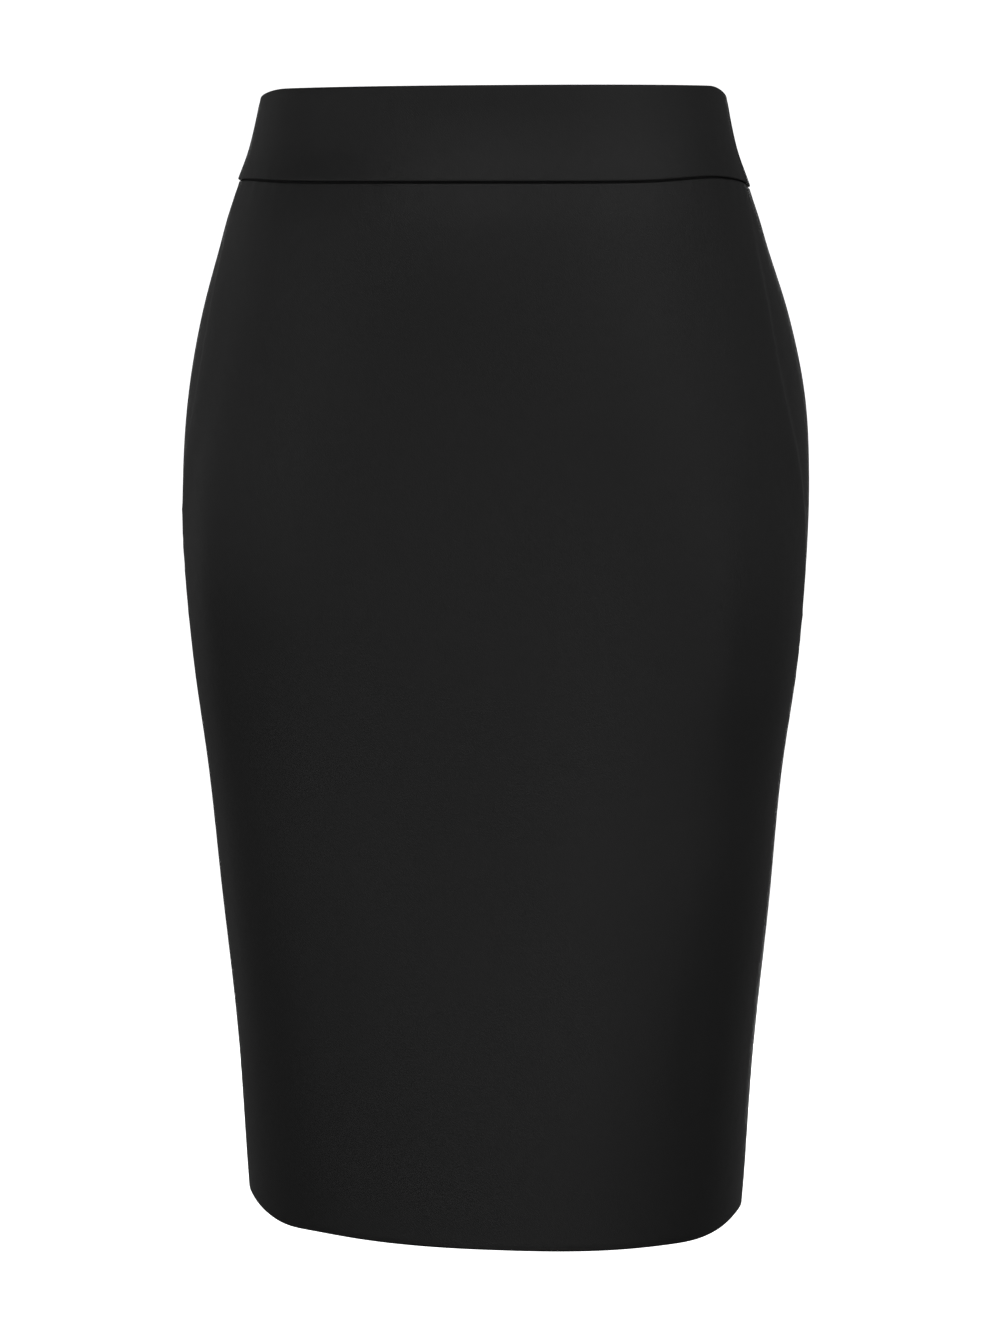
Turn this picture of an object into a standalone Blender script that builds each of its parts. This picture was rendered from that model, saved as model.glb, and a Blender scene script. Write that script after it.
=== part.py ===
"""Knee-length pencil skirt with a wide shaped waistband, standing open as if worn.

The frame: the origin is the middle of the waistband's height, on the skirt's own axis.
+X is the wearer's left, +Y the wearer's back and +Z up. Sizes are in metres, and the
tables are in millimetres and degrees, which the code turns into metres and radians.
"""
from math import radians

import bmesh
import bpy
import numpy as np
from mathutils import Matrix

MM = 0.001

# The skirt's form, one row for each section from the top of the waistband to the hem.
# half: half the width. front, back: the depth before and behind the axis.
# widest: how far behind the axis the section is widest.
# round: exponent of the section's curve, where 2 is an ellipse and more is squarer.
# slant: how far the right-hand end stands forward, and the left-hand end back.
# seam: how far the side seams lie in front of the axis. lead: how much further forward the
# wearer's left one lies. shift: the section's place along X.
SECTION_COLUMNS = ("height", "half", "front", "back", "widest", "round", "slant", "seam", "lead",
                   "shift")
SECTIONS = (
    (25.5, 127.4, 93.0, 88.0, 0, 2.15, 0, 4, 3, -0.6),
    (8.0, 130.7, 95.0, 90.0, 0, 2.15, 0, 6, 4, -0.8),
    (-9.0, 135.1, 98.5, 94.0, 2, 2.15, 0, 7, 5, -0.9),
    (-25.5, 141.4, 103.5, 100.0, 6, 2.15, 0, 9, 6, -1.1),
    (-60.0, 152.2, 110.5, 112.0, 20, 2.15, 0, 14, 9, -1.2),
    (-100.0, 164.9, 115.0, 124.0, 36, 2.15, 0, 17, 11, -0.6),
    (-145.0, 173.9, 116.5, 132.0, 42, 2.20, 0, 16, 11, 0),
    (-190.0, 176.0, 116.0, 135.0, 30, 2.30, 0, 10, 9, 0),
    (-235.0, 174.0, 115.0, 132.0, 15, 2.40, 2, 4, 6, 0),
    (-290.0, 168.8, 115.0, 125.0, 4, 2.40, 5, 0, 3, 0),
    (-350.0, 160.7, 117.0, 119.0, 0, 2.40, 7, 0, 1, -0.2),
    (-420.0, 154.2, 122.0, 115.0, 0, 2.40, 9, 0, 0, 0),
    (-500.0, 145.8, 127.0, 113.0, 0, 2.40, 11, 0, 0, 0),
    (-597.0, 139.4, 129.0, 112.0, 0, 2.40, 12, 0, 0, 0),
)

# The cloth's largest soft folds. angle: place round the body, 0 at the front centre and 90 at
# the wearer's left side. spread: half the fold's width. top, bottom: the heights where it
# fades out. rise: how far it stands out, or how deep it sinks where negative.
FOLD_COLUMNS = ("angle", "spread", "top", "bottom", "rise")
FOLDS = (
    (-4, 15, -70, -330, -2.4),
    (33, 17, -60, -290, 1.4),
    (-42, 18, -110, -330, 1.6),
    (9, 16, -290, -520, 1.7),
    (-31, 9, -340, -590, -1.3),
    (46, 8, -380, -610, -1.5),
    (-74, 10, -300, -560, -1.4),
    (98, 11, -270, -500, -1.2),
    (134, 13, -250, -560, 1.6),
    (180, 20, -225, -420, -2.6),
    (214, 14, -280, -600, 1.8),
    (241, 9, -230, -470, -1.5),
    (60, 7, -30, -125, 1.0),
    (50, 8, -70, -210, 1.4),
    (44, 8, -130, -380, 1.7),
    (-60, 8, -100, -400, 1.3),
    (-47, 6, -30, -130, 0.7),
    (118, 8, -90, -260, 1.1),
    (160, 7, -200, -330, -0.8),
    (251, 9, -110, -300, 1.2),
)

# The waistband and the skirt's cloth
BAND_TOP = 25.5 * MM
WAIST_SEAM = -25.5 * MM
HEM_HEIGHT = -595.2 * MM
HEM_TILT = 1.2 * MM            # the hem is this much lower at the wearer's left
CLOTH_WALL = 1.5 * MM
BAND_WALL = 2.6 * MM
HEM_DEPTH = 38 * MM            # the hem allowance, turned up inside
HEM_STEP = 1.5 * MM
SEAM_GAP = 0.3 * MM            # between two pieces at a seam
BAND_PROUD = 1.0 * MM          # the waistband stands this far over the cloth below it
BAND_PROUD_FADE = 26 * MM
WAIST_SLOPE = 0.42             # how steeply the form widens downwards at the waist seam
TOP_TILT = 0.9 * MM            # the top edge is this much higher towards the wearer's left
LEFT_DIP = (5.0 * MM, 68, 92)  # the top edge's fall at the wearer's left: depth, from, to
RIGHT_DIP = (3.4 * MM, 60, 90)
BACK_RISE = (95, 175)          # behind the side seams the edge rises again, between these angles

# The waist seam and the hem aren't quite level: angle and spread of each rise or fall.
WAVE_COLUMNS = ("angle", "spread", "rise")
SEAM_WAVES = (
    (58, 17, 2.8),
    (90, 9, -3.2),
    (-72, 18, 1.5),
    (158, 24, 1.2),
)
HEM_WAVES = (
    (-78, 13, 3.6),
    (-51, 10, -1.6),
    (20, 45, -1.1),
    (50, 10, -0.8),
    (76, 12, 3.0),
)

# The vent at the back
VENT_TOP = -425 * MM
VENT_RAMP = 12 * MM            # the height over which the underlap sinks inwards
UNDERLAP = 36 * MM
UNDERLAP_DEPTH = 3.6 * MM
UNDERLAP_FOLD = (9.0 * MM, 8.0 * MM)   # it sinks from this far before the centre, over this width

# The concealed zip, closed, with its slider near the top of the waistband
TAPE_TOP = 24.5 * MM
TAPE_BOTTOM = -185 * MM
TAPE_HALF = 12 * MM
TAPE_WALL = 0.7 * MM
TAPE_DEPTH = 2.3 * MM          # inside the skirt's outer surface; deeper behind the waistband
COIL_HALF = 2.2 * MM
COIL_WALL = 2.0 * MM
SLOT_HALF = 1.1 * MM           # the tapes part this much above the slider
SLIDER_HEIGHT = 13 * MM
SLIDER_GAP = 1.7 * MM          # and the waistband's halves this much around it
SLIDER_REACH = 6.5 * MM

# The slider and its pull tab, in the slider's own frame: X across, Y outwards from the
# waistband's surface, Z up along it. Each box is its middle and its size.
SLIDER_BODY = ((0, -7.2 * MM, 0), (7.0 * MM, 2.8 * MM, 9.5 * MM))
SLIDER_NECK = ((0, -2.75 * MM, 0), (0.9 * MM, 7.5 * MM, 4.4 * MM))
SLIDER_PLATE = ((0, 1.0 * MM, 0), (3.4 * MM, 0.8 * MM, 9.0 * MM))
SLIDER_SPAN = (5 * MM, -22 * MM)      # it lies along the waistband between these, from its middle
SLIDER_EDGE = 0.6 * MM
BRIDGE_WIRE = 0.5 * MM         # radius of the bridge that holds the pull tab
BRIDGE_HALF = 2.1 * MM
BRIDGE_HEIGHT = 3.9 * MM
BRIDGE_CORNER = 1.1 * MM
PULL_AXIS = 2.45 * MM          # the hinge lies this far over the waistband's surface
PULL_WALL = 0.9 * MM
PULL_EYE = (1.25 * MM, 3.6 * MM)      # the eye's half width, and its end below the axis
PULL_NECK = (2.3 * MM, 1.9 * MM, 7.0 * MM)   # half width at the eye and at the neck, its place
PULL_TIP = (3.6 * MM, 18.5 * MM)      # radius of the round end, and its centre's place
PULL_EDGE = 0.15 * MM

# The waistband's rows, as shares of the way down from its top edge
BAND_SHARES = (0, 0.1, 0.16, 0.25, 0.33, 0.42, 0.56, 0.7, 0.84, 0.94, 1)

# How finely the cloth is divided
FRONT_COLUMNS = 36
BACK_COLUMNS = 18
PANEL_ROWS = 24
SEAM_ROW = 4 * MM
UNDERLAP_COLUMNS = 4
WALK_STEPS = 400
WALK_PAST = radians(30)


def columns(names, rows, units):
    """The table's columns by name, in metres where no other unit is given."""
    return {name: np.array(column, float) * units.get(name, MM)
            for name, column in zip(names, zip(*rows))}


SECTION = columns(SECTION_COLUMNS, SECTIONS, {"round": 1})
FOLD = columns(FOLD_COLUMNS, FOLDS, {"angle": radians(1), "spread": radians(1)})
SEAM_WAVE = columns(WAVE_COLUMNS, SEAM_WAVES, {"angle": radians(1), "spread": radians(1)})
HEM_WAVE = columns(WAVE_COLUMNS, HEM_WAVES, {"angle": radians(1), "spread": radians(1)})


def smooth(t):
    """A soft step from 0 to 1."""
    t = np.clip(t, 0, 1)
    return t * t * (3 - 2 * t)


def through(height, name):
    """A section value at a height, on a smooth curve through the table's rows."""
    order = np.argsort(SECTION["height"])
    knots = SECTION["height"][order]
    values = SECTION[name][order]
    span = np.diff(knots)
    slope = np.diff(values) / span
    middle = (slope[:-1] * span[1:] + slope[1:] * span[:-1]) / (span[1:] + span[:-1])
    tangent = np.concatenate(([slope[0]], middle, [slope[-1]]))
    height = np.clip(height, knots[0], knots[-1])
    i = np.clip(np.searchsorted(knots, height) - 1, 0, len(span) - 1)
    t = (height - knots[i]) / span[i]
    ends = values[i] * (1 + 2 * t) * (1 - t) ** 2 + values[i + 1] * t * t * (3 - 2 * t)
    bend = span[i] * (tangent[i] * t * (1 - t) ** 2 - tangent[i + 1] * t * t * (1 - t))
    return ends + bend


def oval(angle, height):
    """X and Y of the plain section curve: two half ovals that meet where it is widest."""
    at = {name: through(height, name) for name in SECTION_COLUMNS[1:]}
    across = np.sin(angle)
    along = np.cos(angle)
    x = np.sign(across) * at["half"] * np.abs(across) ** (2 / at["round"])
    reach = np.abs(along) ** (2 / at["round"])
    before = at["widest"] - (at["front"] + at["widest"]) * reach
    behind = at["widest"] + (at["back"] - at["widest"]) * reach
    y = np.where(along > 0, before, behind) - at["slant"] * x / at["half"]
    return x + at["shift"], y


def bells(angle, table):
    """A bell round the angle of each row of the table."""
    away = (np.asarray(angle, float)[..., None] - table["angle"] + np.pi) % (2 * np.pi) - np.pi
    return np.exp(-(away / table["spread"]) ** 2)


def fold_rise(angle, height):
    """The sum of the soft folds: a bell across each one, and a soft rise and fall along it."""
    along = (FOLD["top"] - height[..., None]) / (FOLD["top"] - FOLD["bottom"])
    return np.sum(FOLD["rise"] * bells(angle, FOLD) * np.sin(np.pi * np.clip(along, 0, 1)) ** 2, axis=-1)


def cloth_point(angle, height, inward=0.0):
    """A point of the outer surface, or one that lies the given distance inside it."""
    angle, height = np.broadcast_arrays(np.asarray(angle, float), np.asarray(height, float))
    x, y = oval(angle, height)
    next_x, next_y = oval(angle + 1e-4, height)
    last_x, last_y = oval(angle - 1e-4, height)
    run_x = next_x - last_x
    run_y = next_y - last_y
    run = np.hypot(run_x, run_y)
    out = fold_rise(angle, height) - inward
    return np.stack([x + out * run_y / run, y - out * run_x / run, height], axis=-1)


def side_seam(height, forward):
    """How far round from the front a side seam is that lies the given distance before the axis."""
    at = {name: through(height, name) for name in ("widest", "front", "round")}
    reach = (at["widest"] + forward) / (at["front"] + at["widest"])
    return np.arccos(np.clip(reach, 0, 1) ** (at["round"] / 2))


def left_seam(height):
    """The angle of the wearer's left side seam."""
    return side_seam(height, through(height, "seam") + through(height, "lead"))


def right_seam(height):
    """The angle of the wearer's right side seam."""
    return -side_seam(height, through(height, "seam"))


def band_top(angle):
    """The height of the waistband's top edge, which leans a little and falls at the side seams."""
    turned = np.degrees((angle + np.pi) % (2 * np.pi) - np.pi)
    left = LEFT_DIP[0] * smooth((turned - LEFT_DIP[1]) / (LEFT_DIP[2] - LEFT_DIP[1]))
    right = RIGHT_DIP[0] * smooth((-turned - RIGHT_DIP[1]) / (RIGHT_DIP[2] - RIGHT_DIP[1]))
    behind = smooth((np.abs(turned) - BACK_RISE[0]) / (BACK_RISE[1] - BACK_RISE[0]))
    return BAND_TOP + TOP_TILT * np.sin(angle) - np.maximum(left, right) * (1 - behind)


def waist_seam(angle):
    """The height of the waist seam."""
    return WAIST_SEAM + np.sum(SEAM_WAVE["rise"] * bells(angle, SEAM_WAVE), axis=-1)


def band_bottom(angle):
    """The waistband's side of the waist seam."""
    return waist_seam(angle) + SEAM_GAP / 2


def panel_top(angle):
    """The skirt panels' side of the waist seam, clear of the waistband's slanting edge."""
    return waist_seam(angle) - SEAM_GAP / 2 - WAIST_SLOPE * BAND_PROUD


def hem(angle):
    """The height of the hem, a little lower at the wearer's left."""
    waves = np.sum(HEM_WAVE["rise"] * bells(angle, HEM_WAVE), axis=-1)
    return HEM_HEIGHT - HEM_TILT * np.sin(angle) + waves


def under_band(height):
    """How far the cloth lies inside the form, just below the waistband."""
    return BAND_PROUD * (1 - smooth((WAIST_SEAM - height) / BAND_PROUD_FADE))


def along_section(start, end, height):
    """A section's angles, from its start to a little past its end, how far each lies from the
    start, and how far the end does."""
    past = end + np.sign(end - start) * np.linspace(0, WALK_PAST, WALK_STEPS)
    dense = np.concatenate([np.linspace(start, end, WALK_STEPS), past[1:]])
    points = cloth_point(dense, height)[:, :2]
    travelled = np.concatenate(([0], np.cumsum(np.linalg.norm(np.diff(points, axis=0), axis=1))))
    return dense, travelled, travelled[WALK_STEPS - 1]


def cloth_rows(shares, top, bottom, edges, places, inward):
    """The points of a sewn piece, a row for each share of the way from its top to its bottom.

    edges gives a row's first and last angle, and places the distances along it of its points.
    inward tells how far each point lies inside the form, from its height and its distance
    past the row's end.
    """
    rows = []
    for share in shares:
        level = top(0) + share * (bottom(0) - top(0))
        dense, travelled, whole = along_section(*edges(level), level)
        along = places(whole, level)
        angle = np.interp(along, travelled, dense)
        height = top(angle) + share * (bottom(angle) - top(angle))
        rows.append(cloth_point(angle, height, inward(height, along - whole)))
    return np.array(rows)


def add(name, mesh, material):
    """A new object in the skirt's collection, with its material."""
    piece = bpy.data.objects.new(name, mesh)
    mesh.materials.append(material)
    bpy.data.collections["pencil_skirt"].objects.link(piece)
    return piece


def shell(name, points, material, wall, shares=None, cells=None):
    """A wall made by Solidify from an open sheet of points, whose angle grows along a row.

    shares is each point's part of the wall's thickness, and cells tells which cells exist.
    """
    size = points.shape[:2]
    number = np.arange(size[0] * size[1]).reshape(size)
    corners = np.stack([number[:-1, :-1], number[1:, :-1], number[1:, 1:], number[:-1, 1:]], -1)
    if cells is None:
        cells = np.ones((size[0] - 1, size[1] - 1), bool)
    used, faces = np.unique(corners[cells], return_inverse=True)
    mesh = bpy.data.meshes.new(name)
    mesh.from_pydata(points.reshape(-1, 3)[used].tolist(), [], faces.reshape(-1, 4).tolist())
    mesh.shade_smooth()
    piece = add(name, mesh, material)
    if shares is not None:
        group = piece.vertex_groups.new(name="wall")
        shares = np.broadcast_to(shares, size).reshape(-1)[used]
        for share in np.unique(shares):
            group.add(np.flatnonzero(shares == share).tolist(), float(share), "REPLACE")
    solid = piece.modifiers.new("wall", "SOLIDIFY")
    solid.thickness = wall
    solid.offset = -1
    solid.vertex_group = "wall" if shares is not None else ""
    return piece


def front_edges(level):
    """The front pieces run between the two side seams."""
    return right_seam(level), left_seam(level)


def back_left_edges(level):
    """The wearer's left back pieces run from the side seam to the centre back."""
    return left_seam(level), np.pi


def back_right_edges(level):
    """The wearer's right back pieces, from their side seam to the centre back."""
    return right_seam(level), -np.pi


def columns_between(count, gap=lambda level: SEAM_GAP / 2):
    """Distances spread evenly along a row, which stop short of its end by the gap."""
    return lambda whole, level: np.linspace(SEAM_GAP / 2, whole - gap(level), count + 1)


def underlap_columns(whole, level):
    """Distances along the wearer's right back panel: to the fold, over it, and under the left."""
    start, width = UNDERLAP_FOLD
    main = np.linspace(SEAM_GAP / 2, whole - start, BACK_COLUMNS)
    fold = whole - np.array([start - width / 3, start - 2 * width / 3, SEAM_GAP / 2])
    lap = whole + np.linspace(0, UNDERLAP, UNDERLAP_COLUMNS + 1)[1:]
    return np.concatenate([main, fold, lap])


def panel_shares():
    """The rows of a skirt panel: even ones, and those of the seam, the vent and the hem."""
    drop = WAIST_SEAM - HEM_HEIGHT
    vent = WAIST_SEAM - VENT_TOP
    wanted = np.array([SEAM_ROW, vent, vent + VENT_RAMP / 2, vent + VENT_RAMP,
                       drop - HEM_DEPTH, drop - HEM_DEPTH + HEM_STEP]) / drop
    even = np.linspace(0, 1, PANEL_ROWS)
    clear = np.min(np.abs(even[:, None] - wanted), axis=1) > 0.3 / PANEL_ROWS
    return np.sort(np.concatenate([even[clear | (even == 0) | (even == 1)], wanted]))


def hem_wall(shares):
    """Each row's part of the panel's thickness, which doubles where the hem is turned up."""
    turned_up = 1 - (HEM_DEPTH - HEM_STEP) / (WAIST_SEAM - HEM_HEIGHT)
    return np.where(shares > turned_up - 1e-6, 1.0, 0.5)[:, None]


def plain_depth(height, past):
    """A panel's cloth lies on the form, but for the step below the waistband."""
    return under_band(height)


def underlap_depth(height, past):
    """The vent's underlap sinks inwards before the centre back and below the vent's top."""
    start, width = UNDERLAP_FOLD
    sunk = smooth((past + start) / width) * smooth((VENT_TOP - height) / VENT_RAMP)
    return under_band(height) + UNDERLAP_DEPTH * sunk


def make_panels(cloth):
    """The front and the two halves of the back."""
    shares = panel_shares()
    wall = hem_wall(shares)
    thick = 2 * CLOTH_WALL
    form = (shares, panel_top, hem)
    front = cloth_rows(*form, front_edges, columns_between(FRONT_COLUMNS), plain_depth)
    shell("front_panel", front, cloth, thick, wall)
    left = cloth_rows(*form, back_left_edges, columns_between(BACK_COLUMNS), plain_depth)
    shell("back_panel_left", left, cloth, thick, wall)
    right = cloth_rows(*form, back_right_edges, underlap_columns, underlap_depth)
    # Above the vent this panel ends at the centre back: the underlap's cells are left out.
    drop = WAIST_SEAM - HEM_HEIGHT
    below = shares[:-1] > (WAIST_SEAM - VENT_TOP + VENT_RAMP) / drop - 1e-6
    lap = np.arange(right.shape[1] - 1) >= right.shape[1] - 1 - UNDERLAP_COLUMNS
    cells = below[:, None] | ~lap[None, :]
    shell("back_panel_right", right[:, ::-1], cloth, thick, wall, cells[:, ::-1])


def slider_gap(level):
    """Half the centre back gap of the waistband, which widens around the zip's slider."""
    near = smooth((1 - abs(level - SLIDER_HEIGHT) / SLIDER_REACH) / 0.35)
    return (SEAM_GAP + (SLIDER_GAP - SEAM_GAP) * near) / 2


def make_waistband(cloth):
    """The shaped waistband: a front and two halves of the back."""
    form = (BAND_SHARES, band_top, band_bottom)
    half = columns_between(BACK_COLUMNS, slider_gap)
    front = cloth_rows(*form, front_edges, columns_between(FRONT_COLUMNS), lambda *at: 0.0)
    left = cloth_rows(*form, back_left_edges, half, lambda *at: 0.0)
    right = cloth_rows(*form, back_right_edges, half, lambda *at: 0.0)
    shell("waistband_front", front, cloth, BAND_WALL)
    shell("waistband_back_left", left, cloth, BAND_WALL)
    shell("waistband_back_right", right[:, ::-1], cloth, BAND_WALL)


def make_zip_tape(tape):
    """Both tapes of the zip with the closed coil, a ridge down their middle on the inside."""
    across = np.array([-TAPE_HALF, -TAPE_HALF * 0.6, -COIL_HALF * 1.35, -COIL_HALF, -SLOT_HALF])
    across = np.concatenate([across, -across[::-1]])
    fork = SLIDER_HEIGHT - SLIDER_BODY[1][2] / 2
    above = np.array([TAPE_TOP, SLIDER_HEIGHT + SLIDER_REACH, SLIDER_HEIGHT])
    height = np.concatenate([above, np.linspace(fork, TAPE_BOTTOM, 13)])
    rows = []
    for level in height:
        dense, travelled, whole = along_section(0, np.pi, level)
        angle = np.interp(whole + across, travelled, dense)
        rows.append(cloth_point(angle, level, TAPE_DEPTH + under_band(level)))
    coil = np.where(np.abs(across) <= COIL_HALF, 1.0, TAPE_WALL / COIL_WALL)[None, :]
    slot = np.abs(across[:-1] + across[1:]) < SLOT_HALF
    cells = (height[:-1] <= fork + 1e-6)[:, None] | ~slot[None, :]
    shell("zip_tape", np.array(rows), tape, COIL_WALL, coil, cells)


def slider_frame():
    """The slider's frame: on the waistband's outer surface at the centre back, tilted with it."""
    here, above, below = cloth_point(np.pi, SLIDER_HEIGHT + np.array([0, *SLIDER_SPAN]))
    tilt = np.arctan2(below[1] - above[1], above[2] - below[2])
    return Matrix.Translation(here) @ Matrix.Rotation(tilt, 4, "X")


def box(name, middle, size, frame, material, hidden=False):
    """A box in the given frame, its scale in its mesh."""
    bpy.ops.mesh.primitive_cube_add(size=1)
    piece = bpy.context.object
    piece.name = name
    piece.data.transform(Matrix.Diagonal((*size, 1)))
    piece.data.materials.append(material)
    piece.matrix_world = frame @ Matrix.Translation(middle)
    move_to(piece, "cutters" if hidden else "pencil_skirt")
    return piece


def move_to(piece, collection):
    """Leaves the piece in one collection alone; the cutters are guides and don't render."""
    for other in list(piece.users_collection):
        other.objects.unlink(piece)
    bpy.data.collections[collection].objects.link(piece)
    if collection == "cutters":
        piece.hide_render = True
        piece.display_type = "WIRE"


def rounded_bend(middle, radius, start, end, count=5):
    """Points on an arc, from one angle to another in degrees."""
    turn = np.radians(np.linspace(start, end, count))
    return [(middle[0] + radius * np.cos(t), middle[1] + radius * np.sin(t)) for t in turn]


def curve(name, outlines, closed):
    """A curve object of POLY splines through points in its own plane, X and Y."""
    data = bpy.data.curves.new(name, "CURVE")
    data.dimensions = "2D" if closed else "3D"
    for outline in outlines:
        spline = data.splines.new("POLY")
        spline.points.add(len(outline) - 1)
        for point, place in zip(spline.points, outline):
            point.co = (*place, 0, 1)
        spline.use_cyclic_u = closed
    piece = bpy.data.objects.new(name, data)
    bpy.data.collections["pencil_skirt"].objects.link(piece)
    return piece


def bridge_tool(frame):
    """The bridge over the pull tab's bar: a bent wire with both feet in the slider's plate."""
    foot = SLIDER_PLATE[0][1]
    corner = BRIDGE_HEIGHT - BRIDGE_WIRE - BRIDGE_CORNER
    inner = BRIDGE_HALF - BRIDGE_CORNER
    path = [(BRIDGE_HALF, foot), *rounded_bend((inner, corner), BRIDGE_CORNER, 0, 90),
            *rounded_bend((-inner, corner), BRIDGE_CORNER, 90, 180), (-BRIDGE_HALF, foot)]
    wire = curve("bridge_wire", [path], closed=False)
    wire.data.bevel_depth = BRIDGE_WIRE
    wire.data.bevel_resolution = 2
    wire.data.use_fill_caps = True
    bpy.context.view_layer.update()
    solid = bpy.data.meshes.new_from_object(wire.evaluated_get(bpy.context.evaluated_depsgraph_get()))
    bpy.data.objects.remove(wire)
    sheet = bmesh.new()
    sheet.from_mesh(solid)
    bmesh.ops.remove_doubles(sheet, verts=sheet.verts, dist=0.01 * MM)
    bmesh.ops.recalc_face_normals(sheet, faces=sheet.faces)
    sheet.to_mesh(solid)
    sheet.free()
    bridge = bpy.data.objects.new("bridge_tool", solid)
    # The wire's own X is turned to run along the slider's Z.
    bridge.matrix_world = frame @ Matrix.Rotation(radians(-90), 4, "Y")
    move_to(bridge, "cutters")
    return bridge


def make_slider(metal):
    """The zip's slider: a body inside, a neck between the band's halves, a plate and a bridge."""
    frame = slider_frame()
    slider = box("zip_slider", *SLIDER_BODY, frame, metal)
    edge = slider.modifiers.new("edge", "BEVEL")
    edge.width = SLIDER_EDGE
    edge.segments = 2
    neck = box("neck_tool", *SLIDER_NECK, frame, metal, hidden=True)
    plate = box("plate_tool", *SLIDER_PLATE, frame, metal, hidden=True)
    for tool in (neck, plate, bridge_tool(frame)):
        union = slider.modifiers.new(tool.name, "BOOLEAN")
        union.operation = "UNION"
        union.object = tool


def make_pull(metal):
    """The pull tab: a flat drop with an eye, whose top bar turns under the slider's bridge."""
    half_bar = PULL_WALL / 2
    neck_top, neck_bottom, neck_place = PULL_NECK
    eye_half, eye_end = PULL_EYE
    tip_radius, tip_place = PULL_TIP
    shoulder = 0.8 * MM
    right = [*rounded_bend((neck_top - shoulder, half_bar - shoulder), shoulder, 90, 0),
             (neck_top, -eye_end), (neck_bottom, -neck_place)]
    left = [(-x, y) for x, y in reversed(right)]
    tip = rounded_bend((0, -tip_place), tip_radius, 10, -190, 17)
    eye = [(eye_half, -half_bar), *rounded_bend((0, -eye_end + eye_half), eye_half, 0, -180, 9),
           (-eye_half, -half_bar)]
    pull = curve("zip_pull", [right + tip + left, eye], closed=True)
    pull.data.fill_mode = "BOTH"
    pull.data.extrude = half_bar - PULL_EDGE
    pull.data.bevel_depth = PULL_EDGE
    pull.data.bevel_resolution = 0
    pull.data.offset = -PULL_EDGE
    pull.data.materials.append(metal)
    # The outline is drawn across and up, so it is stood up on the hinge's axis.
    stand = Matrix.Rotation(radians(90), 4, "X")
    pull.matrix_world = slider_frame() @ Matrix.Translation((0, PULL_AXIS, 0)) @ stand


def finish(name, colour, roughness, metallic=0.0, sheen=0.0):
    """A Principled material."""
    material = bpy.data.materials.new(name)
    material.use_nodes = True
    shader = material.node_tree.nodes["Principled BSDF"]
    shader.inputs["Base Color"].default_value = (*colour, 1)
    shader.inputs["Roughness"].default_value = roughness
    shader.inputs["Metallic"].default_value = metallic
    shader.inputs["Sheen Weight"].default_value = sheen
    return material


def clear():
    """Removes the scene's objects and makes the two collections."""
    for piece in list(bpy.data.objects):
        bpy.data.objects.remove(piece, do_unlink=True)
    for name in ("pencil_skirt", "cutters"):
        bpy.context.scene.collection.children.link(bpy.data.collections.new(name))


def make_skirt():
    """The whole skirt."""
    clear()
    cloth = finish("skirt_cloth", (0.013, 0.013, 0.014), 0.62, sheen=0.2)
    band = finish("waistband_cloth", (0.015, 0.015, 0.016), 0.6, sheen=0.2)
    tape = finish("zip_tape", (0.01, 0.01, 0.011), 0.8)
    metal = finish("zip_metal", (0.02, 0.02, 0.022), 0.35)
    make_panels(cloth)
    make_waistband(band)
    make_zip_tape(tape)
    make_slider(metal)
    make_pull(metal)


make_skirt()
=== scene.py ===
import bpy
import numpy as np
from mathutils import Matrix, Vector


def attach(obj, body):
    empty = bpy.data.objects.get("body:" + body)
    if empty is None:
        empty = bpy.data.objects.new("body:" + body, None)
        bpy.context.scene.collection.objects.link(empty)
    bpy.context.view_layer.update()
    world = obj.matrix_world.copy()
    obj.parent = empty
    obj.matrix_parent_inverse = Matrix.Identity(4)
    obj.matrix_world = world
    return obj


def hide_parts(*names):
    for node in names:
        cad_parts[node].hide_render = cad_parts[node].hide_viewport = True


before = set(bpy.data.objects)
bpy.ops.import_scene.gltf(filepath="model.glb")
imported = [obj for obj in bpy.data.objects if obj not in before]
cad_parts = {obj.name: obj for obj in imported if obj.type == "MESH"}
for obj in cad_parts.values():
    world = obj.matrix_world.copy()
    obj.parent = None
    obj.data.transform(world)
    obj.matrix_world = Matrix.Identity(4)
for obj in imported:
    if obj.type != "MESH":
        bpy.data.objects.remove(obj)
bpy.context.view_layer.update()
print("frame loaded:", len(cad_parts), "nodes")

mm = 0.001
degree = np.pi / 180

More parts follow.
